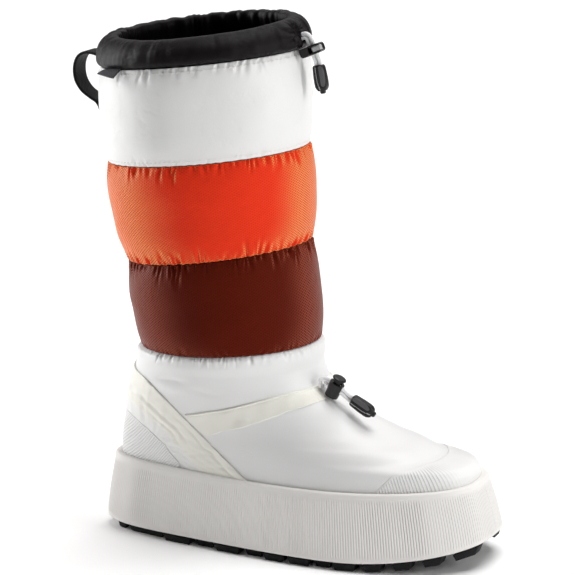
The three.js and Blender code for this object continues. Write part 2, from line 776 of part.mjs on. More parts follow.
// Frame of a cord lock or cord end: its middle, its tilt in the upright plane, in degrees
function placeIn(geometry, frame) {
  geometry.rotateY(degrees(frame.tilt));
  geometry.translate(frame.x, frame.y, frame.z);
  return geometry;
}

function inFrame(frame, x, y, z) {
  const point = new THREE.Vector3(x, y, z);
  point.applyAxisAngle(new THREE.Vector3(0, 1, 0), degrees(frame.tilt));
  return point.add(new THREE.Vector3(frame.x, frame.y, frame.z));
}

// Locks and ends hang in front of the boot: at the collar seam, and at the instep below the ankle
const collarFront = formPoint(collarSeam.height, 0);
const instepFront = formPoint(riseLevel(0.725), 0);
const inFrontOf = (front, out, side, up, tilt) => ({ x: front.x + out, y: side, z: front.z + up, tilt });
const collarLock = inFrontOf(collarFront, 10.5, -7.5, 0.5, -22);
const collarEnd = inFrontOf(collarFront, 14.3, -5.5, -10, -9.5);
const ankleLock = inFrontOf(instepFront, 13.3, -13.6, -3.2, 27);
const ankleEnd = inFrontOf(instepFront, 26.1, -12, -9.7, -60);

const pocketDepth = 4;
const pocketHeight = 4.4;
const pocketStart = -1.2;
const plateLength = 7;
const plateCorner = 0.8;
const lockBevel = 0.5;
const channelY = 2;

function boxBetween(low, high) {
  const size = high.map((value, i) => value - low[i]);
  const box = new THREE.BoxGeometry(...size);
  box.translate(...low.map((value, i) => value + size[i] / 2));
  return box;
}

function roundedPlate(length, height, depth, radius) {
  const w = length / 2 - radius;
  const h = height / 2 - radius;
  const shape = new THREE.Shape();
  shape.absarc(w, h, radius, 0, Math.PI / 2);
  shape.absarc(-w, h, radius, Math.PI / 2, Math.PI);
  shape.absarc(-w, -h, radius, Math.PI, Math.PI * 1.5);
  shape.absarc(w, -h, radius, Math.PI * 1.5, Math.PI * 2);
  const plate = new THREE.ExtrudeGeometry(shape, {
    depth: depth - 2 * lockBevel,
    bevelThickness: lockBevel,
    bevelSize: lockBevel,
    bevelOffset: -lockBevel,
    bevelSegments: 1,
    curveSegments: 2,
  });
  plate.translate(0, 0, lockBevel - depth / 2);
  plate.rotateX(Math.PI / 2);
  return plate;
}

// Collar lock: a flat bar with a slot for the cord behind and an open pocket for its button in front
function makeCollarLockBody() {
  const bar = roundedPlate(barLength, barHeight, barDepth, barCorner);
  const front = -barDepth / 2;
  const pocket = boxBetween(
    [pocketStart, front - 1, -pocketHeight / 2],
    [barLength, front + pocketDepth, pocketHeight / 2],
  );
  const slot = boxBetween(
    [-slotLength / 2, channelY - slotWidth / 2, -barHeight],
    [slotLength / 2, channelY + slotWidth / 2, barHeight],
  );
  return placeIn(cutAway(bar, [pocket, slot]), collarLock);
}

function makeCollarLockButton() {
  const plate = roundedPlate(plateLength, pocketHeight - 2 * gap, pocketDepth - 2 * gap, plateCorner);
  const middleX = pocketStart + gap + buttonTravel + plateLength / 2;
  plate.translate(middleX, -barDepth / 2 + pocketDepth / 2, 0);
  return placeIn(plate, collarLock);
}

const stemDiameter = 6.8;
const barrelFloor = 1.2;
const barrelTaper = 0.6;
const barrelSides = 20;
const strandHeight = 2;

// Ankle lock: a round barrel with the cord through its upper half and a button from above
function makeAnkleLockBody() {
  const radius = barrelDiameter / 2;
  const barrel = new THREE.CylinderGeometry(radius, radius - barrelTaper, barrelHeight, barrelSides);
  barrel.rotateX(Math.PI / 2);
  const boreRadius = stemDiameter / 2 + gap;
  const bore = new THREE.CylinderGeometry(boreRadius, boreRadius, barrelHeight, barrelSides);
  bore.rotateX(Math.PI / 2);
  bore.translate(0, 0, barrelFloor);
  const slot = boxBetween(
    [-barrelDiameter, -slotWidth / 2, strandHeight - slotLength / 2],
    [barrelDiameter, slotWidth / 2, strandHeight + slotLength / 2],
  );
  return placeIn(cutAway(barrel, [bore, slot]), ankleLock);
}

// Its button's cap: out is a share of the barrel's half width, up a share of the cap's height
const capHeight = 1.8;
const capRows = [
  { out: 0.85, up: 0 },
  { out: 0.93, up: 0.28 },
  { out: 0.89, up: 0.78 },
  { out: 0.75, up: 1 },
  { out: 0, up: 1 },
];

function makeAnkleLockButton() {
  const top = barrelHeight / 2 + buttonTravel + gap;
  const bottom = -barrelHeight / 2 + barrelFloor + buttonTravel + gap;
  const stem = [[0, bottom], [stemDiameter / 2, bottom], [stemDiameter / 2, top]];
  const cap = capRows.map((row) => [(row.out * barrelDiameter) / 2, top + row.up * capHeight]);
  const profile = [...stem, ...cap].map(([x, y]) => new THREE.Vector2(x, y));
  const button = new THREE.LatheGeometry(profile, barrelSides);
  button.rotateX(Math.PI / 2);
  const slot = boxBetween(
    [-barrelDiameter, -slotWidth / 2, strandHeight - slotLength / 2],
    [barrelDiameter, slotWidth / 2, strandHeight + slotLength / 2 + buttonTravel],
  );
  return placeIn(cutAway(button, [slot]), ankleLock);
}

// Cord end: two shells and a nub, as sections from the cord's entry down. Along is a share of
// its length, wide and deep shares of its width and depth.
const cordEndRows = [
  { along: 0, wide: 0.76, deep: 0.74 },
  { along: 0.05, wide: 0.88, deep: 0.92 },
  { along: 0.45, wide: 1, deep: 1 },
  { along: 0.74, wide: 0.98, deep: 0.96 },
  { along: 0.9, wide: 0.6, deep: 0.66 },
  { along: 0.92, wide: 0.34, deep: 0.5 },
  { along: 1, wide: 0.32, deep: 0.46 },
];

const toggleSides = 16;
const toggleSquareness = 0.6;

function makeCordEnd(frame) {
  const rings = cordEndRows.map((row) => Array.from({ length: toggleSides }, (_, i) => {
    const angle = (i / toggleSides) * Math.PI * 2;
    const x = (toggleWidth / 2) * row.wide * signedPower(Math.cos(angle), toggleSquareness);
    const y = (toggleDepth / 2) * row.deep * signedPower(Math.sin(angle), toggleSquareness);
    return new THREE.Vector3(x, y, -row.along * toggleLength);
  }));
  const entry = boxBetween([-slotLength / 2, -slotWidth / 2, -entryDepth], [slotLength / 2, slotWidth / 2, 1]);
  return placeIn(cutAway(solidLoft(rings), [entry]), frame);
}

// Strand routes, each from the boot to near the bottom of the cord end's entry
const strandEnd = 0.2 - entryDepth;

// Out and up are measured from the front of the collar seam, and the two strands part outward and
// upward by shares of half their spacing
const collarStart = [
  { out: 2.2, up: 9.4, partOut: 0, partUp: 1 },
  { out: 4.9, up: 10, partOut: 0.4, partUp: 0.9 },
  { out: 7.3, up: 8.4, partOut: 0.8, partUp: 0.6 },
];

function collarStrand(side) {
  const apart = (side * strandSpacing) / 2;
  const start = collarStart.map((row) => new THREE.Vector3(
    collarFront.x + row.out + apart * row.partOut,
    collarEnd.y,
    collarFront.z + row.up + apart * row.partUp,
  ));
  const inLock = [4.6, 0, -4.6].map((rise) => inFrame(collarLock, apart, channelY, rise));
  const inEnd = [1.5, strandEnd].map((rise) => inFrame(collarEnd, apart, 0, rise));
  return [...start, ...inLock, ...inEnd];
}

// Out and up are measured from the front of the instep, side from the boot's middle
const outerStart = [
  { out: 3.1, side: -11, up: -2.2 },
  { out: 2.9, side: -14.5, up: 1.2 },
  { out: 3.3, side: -15.2, up: 3.6 },
  { out: 5.6, side: -14.2, up: 4.6 },
];
const innerStart = [
  { out: 2.7, side: 9.8, up: -1.8 },
  { out: 3.3, side: 4, up: 0.1 },
  { out: 3.5, side: -2, up: 1.3 },
  { out: 4.2, side: -8, up: 1.4 },
  { out: 5.8, side: -11.8, up: 1.2 },
];

function ankleStrand(side) {
  const apart = (side * strandSpacing) / 2;
  const rows = side > 0 ? outerStart : innerStart;
  const start = rows.map((row) => new THREE.Vector3(instepFront.x + row.out, row.side, instepFront.z + row.up));
  const inLock = [-5.2, 0, 5.2].map((along) => inFrame(ankleLock, along, 0, strandHeight + apart));
  const inEnd = [2.2, strandEnd].map((rise) => inFrame(ankleEnd, apart, 0, rise));
  return [...start, ...inLock, ...inEnd];
}

const white = { color: 0xf1f0ee, roughness: 0.55 };
const cream = { color: 0xe2dfd2, roughness: 0.45 };
const black = { color: 0x1c1a1b, roughness: 0.5 };
const foam = { color: 0xe9e8e6, roughness: 0.75 };

const pieces = [
  ['outsole', makeOutsole(), { color: 0x161616, roughness: 0.8 }],
  ['midsole', makeMidsole(), foam],
  ['insole', makeInsole(), { color: 0x2a2829, roughness: 0.9 }],
  ['upper', makeUpper(), white],
  ['shaft_panel_lower', makePanel(ankleSeam, lowerSeam), { color: 0x6b2418, roughness: 0.5 }],
  ['shaft_panel_middle', makePanel(lowerSeam, middleSeam), { color: 0xe5481f, roughness: 0.5 }],
  ['shaft_panel_upper', makePanel(middleSeam, collarSeam), white],
  ['collar_cuff', makeCuff(), black],
  ['toe_cap', makeToeCap(), cream],
  ['heel_counter', makeCounter(), cream],
  ['heel_strap', makeHeelStrap(), cream],
  ['ankle_strap_outer', makeAnkleStrap(-1), cream],
  ['ankle_strap_inner', makeAnkleStrap(1), cream],
  ['pull_loop', makePullLoop(), black],
  ['side_tab', makeSideTab(), { color: 0x4a4a4c, roughness: 0.7 }],
  ['collar_cord_inner', tubeAlong(collarStrand(-1)), white],
  ['collar_cord_outer', tubeAlong(collarStrand(1)), white],
  ['collar_lock_body', makeCollarLockBody(), black],
  ['collar_lock_button', makeCollarLockButton(), { color: 0x8a8a8c, roughness: 0.5 }],
  ['collar_cord_end', makeCordEnd(collarEnd), black],
  ['ankle_cord_inner', tubeAlong(ankleStrand(-1)), white],
  ['ankle_cord_outer', tubeAlong(ankleStrand(1)), white],
  ['ankle_lock_body', makeAnkleLockBody(), black],
  ['ankle_lock_button', makeAnkleLockButton(), black],
  ['ankle_cord_end', makeCordEnd(ankleEnd), black],
];
const onCords = /cord|lock/;

const boot = new THREE.Group();
for (const [name, geometry, look] of pieces) {
  const mesh = new THREE.Mesh(geometry, new THREE.MeshStandardMaterial({ ...look, metalness: 0 }));
  mesh.name = name;
  boot.add(mesh);
}

// The origin is at the bottom centre of the boot's box, free cords and what hangs on them left out
const extent = new THREE.Box3();
for (const mesh of boot.children) {
  if (!onCords.test(mesh.name)) extent.expandByObject(mesh);
}
const middle = extent.getCenter(new THREE.Vector3());
boot.position.set(-middle.x, -middle.y, -extent.min.z);

export default boot;
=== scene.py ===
import math

import bpy
import numpy as np
from mathutils import Matrix, Vector


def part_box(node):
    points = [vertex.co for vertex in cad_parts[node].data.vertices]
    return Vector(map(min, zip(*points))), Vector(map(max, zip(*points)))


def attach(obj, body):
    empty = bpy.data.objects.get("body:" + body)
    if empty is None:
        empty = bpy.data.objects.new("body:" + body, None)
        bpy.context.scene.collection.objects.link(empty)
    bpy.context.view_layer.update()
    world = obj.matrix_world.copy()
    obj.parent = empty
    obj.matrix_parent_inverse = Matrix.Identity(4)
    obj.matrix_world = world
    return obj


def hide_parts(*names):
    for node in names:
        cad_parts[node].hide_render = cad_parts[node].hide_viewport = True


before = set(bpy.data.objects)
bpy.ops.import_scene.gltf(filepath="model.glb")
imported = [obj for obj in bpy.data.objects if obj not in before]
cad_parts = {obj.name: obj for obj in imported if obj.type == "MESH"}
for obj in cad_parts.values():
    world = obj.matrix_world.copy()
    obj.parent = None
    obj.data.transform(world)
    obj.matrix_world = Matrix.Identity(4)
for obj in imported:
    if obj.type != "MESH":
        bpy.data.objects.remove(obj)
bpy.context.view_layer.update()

# Tall quilted winter boot, right foot. Lengths below are millimetres about the middle of the
# sole's length, as a bootmaker would measure them; place() turns them into the frame's metres.
soleLow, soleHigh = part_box("midsole")
frameShift = Vector(((soleLow.x + soleHigh.x) / 2, 0, 0))
turn = 2 * math.pi
scene = bpy.context.scene


def place(points):
    return np.asarray(points, float) * 0.001 + np.array(frameShift)


# Camera: the photograph's angle to the boot, with the frame moved over to the one boot.
# Angles are radians, and the focal length and the shift are pixels of a picture 574 wide.
camera = {
    "position": (0.7575, -1.6995, 0.6235), "turn": 0.39547, "pitch": 0.23075, "roll": -0.01215,
    "sensor": 36, "pictureWidth": 574, "focalLength": 2696.2, "shift": -70,
}


def makeCamera():
    data = bpy.data.cameras.new("photoCamera")
    data.sensor_fit = "HORIZONTAL"
    data.sensor_width = camera["sensor"]
    data.lens = camera["sensor"] * camera["focalLength"] / camera["pictureWidth"]
    data.shift_x = camera["shift"] / camera["pictureWidth"]
    data.clip_end = 50
    item = bpy.data.objects.new("photoCamera", data)
    scene.collection.objects.link(item)
    spin, dip, roll = camera["turn"], camera["pitch"], camera["roll"]
    ahead = Vector((-math.sin(spin) * math.cos(dip), math.cos(spin) * math.cos(dip), -math.sin(dip)))
    level = ahead.cross(Vector((0, 0, 1))).normalized()
    above = level.cross(ahead)
    right = math.cos(roll) * level + math.sin(roll) * above
    up = -math.sin(roll) * level + math.cos(roll) * above
    item.matrix_world = Matrix((
        (right.x, up.x, -ahead.x, camera["position"][0] + frameShift.x),
        (right.y, up.y, -ahead.y, camera["position"][1]),
        (right.z, up.z, -ahead.z, camera["position"][2]),
        (0, 0, 0, 1),
    ))
    scene.camera = item


makeCamera()
print("camera placed")


# Boot form: horizontal sections joined upward. Level is the height before the shaft's tilt,
# angle goes round from the toe, the outer side is negative.
sole = {
    "length": 300, "ballWidth": 119, "heelWidth": 86, "square": 2.79, "toeSwing": 5,
    "heelTop": 57, "waistTop": 54.3, "toeTop": 59.7, "treadDepth": 6.4,
    "toeSpring": 13, "toeSpringStart": 50, "heelSpring": 0.6, "heelSpringStart": -90,
    "heelInset": 8.5, "toeInset": 11, "sideInset": 7, "rimWidth": 4, "heelEase": 1.5, "ballEase": 1,
}
ankleSeam = {"height": 146, "centre": -50.3, "depth": 133.8, "width": 121, "tilt": 0.045}
lowerSeam = {"height": 212, "centre": -57.2, "depth": 134.8, "width": 122, "tilt": 0.131}
middleSeam = {"height": 281.6, "centre": -64.4, "depth": 147.6, "width": 133, "tilt": 0.097}
collarSeam = {"height": 350, "centre": -66.4, "depth": 151.4, "width": 136, "tilt": 0.103}
# rise, heel, toe, heel side, ball side, outline power
footSections = [
    (-0.2, 0, 0, 0, 0, 2.7),
    (0, 0, 0, 0, 0, 2.7),
    (0.07, 0, 0, 0.02, 0, 2.7),
    (0.13, 0.02, 0.025, 0.05, -0.02, 2.65),
    (0.19, 0.06, 0.225, 0.1, -0.06, 2.6),
    (0.235, 0.1, 0.29, 0.15, -0.12, 2.5),
    (0.268, 0.13, 0.347, 0.19, -0.19, 2.45),
    (0.292, 0.155, 0.41, 0.22, -0.24, 2.4),
    (0.33, 0.19, 0.485, 0.27, -0.3, 2.35),
    (0.4, 0.25, 0.615, 0.37, -0.36, 2.3),
    (0.47, 0.32, 0.707, 0.47, -0.36, 2.25),
    (0.545, 0.41, 0.785, 0.57, -0.26, 2.2),
    (0.635, 0.54, 0.873, 0.69, 0.02, 2.1),
    (0.725, 0.67, 0.953, 0.8, 0.4, 2.05),
    (0.86, 0.84, 0.99, 0.92, 0.8, 2),
    (1, 1, 1, 1, 1, 2),
]
layers = {"panel": 2.5, "puff": 3.6, "gap": 0.3}


def smoothStep(value):
    t = np.clip(value, 0, 1)
    return t * t * (3 - 2 * t)


# Smooth curve through a table's rows that never overshoots them
def curveThrough(places, values):
    places, values = np.array(places, float), np.array(values, float)
    steps = np.diff(places)
    slopes = np.diff(values) / steps
    tangents = np.zeros(len(places))
    tangents[0], tangents[-1] = slopes[0], slopes[-1]
    for i in range(1, len(places) - 1):
        before, after = slopes[i - 1], slopes[i]
        if before * after > 0:
            weight = (2 * steps[i] + steps[i - 1]) / before + (steps[i] + 2 * steps[i - 1]) / after
            tangents[i] = 3 * (steps[i - 1] + steps[i]) / weight

    def valueAt(where):
        k = np.clip(np.searchsorted(places, where, side="right") - 1, 0, len(places) - 2)
        t = (where - places[k]) / steps[k]
        s = 1 - t
        start = (1 + 2 * t) * s * s * values[k] + t * s * s * steps[k] * tangents[k]
        end = t * t * (3 - 2 * t) * values[k + 1] + t * t * (t - 1) * steps[k] * tangents[k + 1]
        return start + end

    return valueAt


def halfWidth(x, heelHalf, ballHalf):
    return heelHalf + (ballHalf - heelHalf) * smoothStep(x / sole["length"] * 5 / 3 + 0.61)


def swingAt(x):
    return sole["toeSwing"] * np.clip((x / sole["length"] + 0.067) / 0.567, 0, 1) ** 2


def seamRow(seam):
    half = seam["width"] / 2
    reach = seam["depth"] / 2
    return (seam["height"], seam["centre"] - reach, seam["centre"] + reach, half, half, 2, 0, seam["tilt"])


def footRow(rise, heel, toe, heelSide, ballSide, square):
    seam = seamRow(ankleSeam)
    start = (
        -sole["length"] / 2 + sole["heelInset"] + sole["rimWidth"],
        sole["length"] / 2 - sole["toeInset"] - sole["rimWidth"],
        sole["heelWidth"] / 2 - sole["sideInset"] - sole["rimWidth"] + sole["heelEase"],
        sole["ballWidth"] / 2 - sole["sideInset"] - sole["rimWidth"] + sole["ballEase"],
    )
    mixed = [a + (b - a) * s for a, b, s in zip(start, seam[1:5], (heel, toe, heelSide, ballSide))]
    tilt = ankleSeam["tilt"] * float(smoothStep((rise - 0.6) / 0.4))
    return (riseLevel(rise), *mixed, square, 1 - min(max(toe, 0), 1), tilt)


def riseLevel(rise):
    return sole["heelTop"] + rise * (ankleSeam["height"] - sole["heelTop"])


formRows = [footRow(*row) for row in footSections] + [seamRow(s) for s in (lowerSeam, middleSeam, collarSeam)]
formCurves = [curveThrough([r[0] for r in formRows], [r[c] for r in formRows]) for c in range(1, 8)]


def power(value, exponent):
    return np.sign(value) * np.abs(value) ** exponent


def formPoint(level, angle):
    level, angle = np.broadcast_arrays(np.asarray(level, float), np.asarray(angle, float))
    inside = np.minimum(level, collarSeam["height"])
    heelX, toeX, heelHalf, ballHalf, square, swing, tilt = [curve(inside) for curve in formCurves]
    centre = (heelX + toeX) / 2
    x = centre + (toeX - heelX) / 2 * power(np.cos(angle), 2 / square)
    side = halfWidth(x, heelHalf, ballHalf)
    y = swingAt(x) * swing + side * power(np.sin(angle), 2 / square)
    return np.stack([x, y, level + (x - centre) * tilt], axis=-1)


def formNormal(level, angle):
    low = np.minimum(level, collarSeam["height"] - 0.1)
    around = formPoint(low, angle + 0.02) - formPoint(low, angle - 0.02)
    up = formPoint(low + 0.1, angle) - formPoint(low - 0.1, angle)
    normal = np.cross(around, up)
    return normal / np.linalg.norm(normal, axis=-1, keepdims=True)


def offsetPoint(level, angle, out):
    out = np.asarray(out, float)
    return formPoint(level, angle) + formNormal(level, angle) * out[..., None]


# A closed ring of angles, evenly spaced along the ring's own length, and that length
def evenlyAlong(fine, steps, count):
    along = np.concatenate([[0], np.cumsum(steps)])
    return np.interp(np.linspace(0, along[-1], count + 1)[:-1], along, fine), along[-1]


def evenAngles(level, count):
    fine = np.linspace(0, turn, 1441)
    return evenlyAlong(fine, np.linalg.norm(np.diff(formPoint(level, fine), axis=0), axis=1), count)


# Finds where an angle in degrees lies along such a ring
def arcFinder(angles, arc, girth):
    ringAngles, ringArc = np.append(angles, turn), np.append(arc, girth)
    return lambda degrees: np.interp(math.radians(degrees) % turn, ringAngles, ringArc)


# Mesh from a grid of points. Around closes each row, loop closes the rows on themselves, and
# caps close the first and last row with a fan. Corners keep their place on the cloth in mm.
def gridMesh(name, points, around=True, loop=False, caps=False, cloth=None):
    rows, columns = points.shape[:2]
    index = np.arange(rows * columns).reshape(rows, columns)
    rowEnd = rows if loop else rows - 1
    columnEnd = columns if around else columns - 1
    r, c = np.meshgrid(np.arange(rowEnd), np.arange(columnEnd), indexing="ij")
    rNext, cNext = (r + 1) % rows, (c + 1) % columns
    quads = np.stack([index[r, c], index[r, cNext], index[rNext, cNext], index[rNext, c]], axis=-1)
    faces = quads.reshape(-1, 4).tolist()
    vertices = place(points).reshape(-1, 3)
    if caps:
        for row, flip in ((0, True), (rows - 1, False)):
            middle = place(points[row].mean(axis=0))
            vertices = np.vstack([vertices, middle])
            centre = len(vertices) - 1
            for i in range(columns):
                a, b = int(index[row, i]), int(index[row, (i + 1) % columns])
                faces.append([b, a, centre] if flip else [a, b, centre])
    mesh = bpy.data.meshes.new(name)
    mesh.from_pydata(vertices.tolist(), [], faces)
    if isinstance(cloth, np.ndarray):
        spots = np.zeros((len(vertices), 3))
        spots[:rows * columns] = cloth.reshape(-1, 3)
        mesh.attributes.new("cloth", "FLOAT_VECTOR", "POINT").data.foreach_set("vector", spots.ravel())
    elif cloth is not None:
        u, v = cloth
        corners = np.zeros((len(mesh.loops), 3))
        cells = np.stack([
            np.stack([u[c], v[r]], -1), np.stack([u[c + 1], v[r]], -1),
            np.stack([u[c + 1], v[r + 1]], -1), np.stack([u[c], v[r + 1]], -1),
        ], axis=2).reshape(-1, 2)
        corners[:len(cells), :2] = cells
        layer = mesh.attributes.new("cloth", "FLOAT_VECTOR", "CORNER")
        layer.data.foreach_set("vector", corners.ravel())
    mesh.shade_smooth()
    mesh.update()
    return mesh


def addPiece(name, mesh, material, nodes=(), body="boot"):
    item = bpy.data.objects.new(name, mesh)
    scene.collection.objects.link(item)
    for one in material if isinstance(material, (list, tuple)) else [material]:
        mesh.materials.append(one)
    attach(item, body)
    if nodes:
        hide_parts(*nodes)
    return item


# Even lines of a piece of cloth: across its width, then up its height
def clothCoordinates(rows, columns, width, height):
    return np.linspace(0, width, columns + 1), np.linspace(0, height, rows + 1)


print("boot form ready")


# Small helpers for node trees
def link(tree, value, socket):
    if isinstance(value, bpy.types.NodeSocket):
        tree.links.new(value, socket)
    else:
        socket.default_value = value


def addNode(tree, kind, values=None, **settings):
    node = tree.nodes.new(kind)
    for key, value in settings.items():
        setattr(node, key, value)
    for key, value in (values or {}).items():
        link(tree, value, node.inputs[key])
    return node


def sums(tree, operation, first, second=0.0, third=None, clamp=False):
    node = addNode(tree, "ShaderNodeMath", {0: first, 1: second}, operation=operation, use_clamp=clamp)
    if third is not None:
        link(tree, third, node.inputs[2])
    return node.outputs[0]


def remap(tree, value, fromLow, fromHigh, toLow=0.0, toHigh=1.0):
    inputs = {0: value, 1: fromLow, 2: fromHigh, 3: toLow, 4: toHigh}
    return addNode(tree, "ShaderNodeMapRange", inputs, interpolation_type="SMOOTHSTEP").outputs[0]


def mixColour(tree, share, first, second):
    node = addNode(tree, "ShaderNodeMix", data_type="RGBA")
    link(tree, share, node.inputs[0])
    link(tree, first, node.inputs[6])
    link(tree, second, node.inputs[7])
    return node.outputs[2]


def newGroup(name, inputs, outputs):
    group = bpy.data.node_groups.new(name, "ShaderNodeTree")
    kinds = {"value": "NodeSocketFloat", "vector": "NodeSocketVector", "colour": "NodeSocketColor"}
    for label, kind, value in inputs:
        socket = group.interface.new_socket(label, in_out="INPUT", socket_type=kinds[kind])
        if value is not None:
            socket.default_value = value
    for label, kind in outputs:
        group.interface.new_socket(label, in_out="OUTPUT", socket_type=kinds[kind])
    return group, addNode(group, "NodeGroupInput").outputs, addNode(group, "NodeGroupOutput").inputs


def useGroup(tree, group, **values):
    node = addNode(tree, "ShaderNodeGroup", node_tree=group)
    for label, value in values.items():
        link(tree, value, node.inputs[label])
    return node.outputs


# Staggered small dots woven into a cloth, and how deep they sit
def makeDotGroup():
    group, given, made = newGroup(
        "wovenDots",
        [("Cloth", "vector", None), ("Pitch", "value", 3.3), ("Size", "value", 0.3)],
        [("Dots", "value")],
    )
    split = addNode(group, "ShaderNodeSeparateXYZ", {0: given["Cloth"]})
    u = sums(group, "DIVIDE", split.outputs[0], given["Pitch"])
    v = sums(group, "DIVIDE", split.outputs[1], sums(group, "MULTIPLY", given["Pitch"], 0.62))
    nearest = None
    for shift in (0.0, 0.5):
        du = sums(group, "SUBTRACT", sums(group, "FRACT", sums(group, "ADD", u, shift)), 0.5)
        dv = sums(group, "SUBTRACT", sums(group, "FRACT", sums(group, "ADD", v, shift)), 0.5)
        wide = sums(group, "POWER", sums(group, "ABSOLUTE", du), 2)
        tall = sums(group, "MULTIPLY", sums(group, "POWER", sums(group, "ABSOLUTE", dv), 2), 0.5)
        reach = sums(group, "SQRT", sums(group, "ADD", wide, tall))
        nearest = reach if nearest is None else sums(group, "MINIMUM", nearest, reach)
    inner = sums(group, "MULTIPLY", given["Size"], 0.6)
    link(group, remap(group, nearest, inner, given["Size"], 1.0, 0.0), made["Dots"])
    return group


# Plain weave of fine threads
def makeWeaveGroup():
    group, given, made = newGroup(
        "fineWeave",
        [("Cloth", "vector", None), ("Thread", "value", 0.5)],
        [("Height", "value")],
    )
    split = addNode(group, "ShaderNodeSeparateXYZ", {0: given["Cloth"]})
    waves = []
    for i in (0, 1):
        phase = sums(group, "MULTIPLY", sums(group, "DIVIDE", split.outputs[i], given["Thread"]), math.pi)
        waves.append(sums(group, "SINE", phase))
    link(group, sums(group, "MULTIPLY", waves[0], waves[1]), made["Height"])
    return group


# Parallel ribs at an angle across the cloth, shown as far as the cloth's third value says
def makeRibGroup():
    group, given, made = newGroup(
        "parallelRibs",
        [
            ("Cloth", "vector", None), ("Pitch", "value", 2.0), ("Across", "value", 1.0),
            ("Along", "value", 0.0), ("Groove", "value", 0.35),
        ],
        [("Height", "value"), ("Grooves", "value")],
    )
    split = addNode(group, "ShaderNodeSeparateXYZ", {0: given["Cloth"]})
    first = sums(group, "MULTIPLY", split.outputs[0], given["Across"])
    second = sums(group, "MULTIPLY", split.outputs[1], given["Along"])
    saw = sums(group, "FRACT", sums(group, "DIVIDE", sums(group, "ADD", first, second), given["Pitch"]))
    away = sums(group, "MULTIPLY", sums(group, "ABSOLUTE", sums(group, "SUBTRACT", saw, 0.5)), 2.0)
    start = sums(group, "SUBTRACT", 1.0, given["Groove"])
    grooves = sums(group, "MULTIPLY", remap(group, away, start, 1.0), split.outputs[2])
    link(group, sums(group, "SUBTRACT", 1.0, grooves), made["Height"])
    link(group, grooves, made["Grooves"])
    return group


# Faint unevenness of tone, as cloth and foam have
def makeToneGroup():
    group, given, made = newGroup(
        "unevenTone",
        [("Color", "colour", (1, 1, 1, 1)), ("Amount", "value", 0.05), ("Scale", "value", 60.0)],
        [("Color", "colour")],
    )
    where = addNode(group, "ShaderNodeTexCoord").outputs["Object"]
    noise = addNode(group, "ShaderNodeTexNoise", {"Vector": where, "Scale": given["Scale"], "Detail": 4.0})
    swing = sums(group, "MULTIPLY", sums(group, "SUBTRACT", noise.outputs[0], 0.5), given["Amount"])
    bright = sums(group, "ADD", 1.0, sums(group, "MULTIPLY", swing, 2.0))
    scaled = addNode(group, "ShaderNodeVectorMath", {0: given["Color"], "Scale": bright}, operation="SCALE")
    link(group, scaled.outputs[0], made["Color"])
    return group


# Fine crumple of thin film or nylon
def makeCrumpleGroup():
    group, given, made = newGroup(
        "fineCrumple",
        [("Scale", "value", 120.0), ("Sharp", "value", 0.5)],
        [("Height", "value")],
    )
    where = addNode(group, "ShaderNodeTexCoord").outputs["Object"]
    soft = addNode(group, "ShaderNodeTexNoise", {"Vector": where, "Scale": given["Scale"], "Detail": 5.0})
    ridged = addNode(group, "ShaderNodeTexNoise", {"Vector": where, "Scale": given["Scale"], "Detail": 3.0})
    fold = sums(group, "ABSOLUTE", sums(group, "SUBTRACT", ridged.outputs[0], 0.5))
    edge = sums(group, "MULTIPLY", sums(group, "SUBTRACT", 0.5, fold), given["Sharp"])
    link(group, sums(group, "ADD", soft.outputs[0], edge), made["Height"])
    return group


dotGroup = makeDotGroup()
weaveGroup = makeWeaveGroup()
ribGroup = makeRibGroup()
toneGroup = makeToneGroup()
crumpleGroup = makeCrumpleGroup()


def newMaterial(name, roughness, coat=0.0, sheen=0.0, specular=0.5, sheenRoughness=0.4, tint=(1, 1, 1)):
    material = bpy.data.materials.new(name)
    material.use_nodes = True
    tree = material.node_tree
    shader = tree.nodes["Principled BSDF"]
    shader.inputs["Roughness"].default_value = roughness
    shader.inputs["Coat Weight"].default_value = coat
    shader.inputs["Coat Roughness"].default_value = 0.25
    shader.inputs["Sheen Weight"].default_value = sheen
    shader.inputs["Sheen Roughness"].default_value = sheenRoughness
    shader.inputs["Specular IOR Level"].default_value = specular
    shader.inputs["Sheen Tint"].default_value = (*tint, 1)
    shader.inputs["Specular Tint"].default_value = (*tint, 1)
    return material, tree, shader


def clothPlace(tree):
    return addNode(tree, "ShaderNodeAttribute", attribute_name="cloth").outputs["Vector"]


# Bumps are stacked in turn: each has a height and its real depth in millimetres
def stackBumps(tree, shader, bumps):
    normal = None
    for height, depth in bumps:
        node = addNode(tree, "ShaderNodeBump", {"Height": height, "Strength": 1.0, "Distance": depth * 0.001})
        if normal is not None:
            link(tree, normal, node.inputs["Normal"])
        normal = node.outputs[0]
    if normal is not None:
        link(tree, normal, shader.inputs["Normal"])


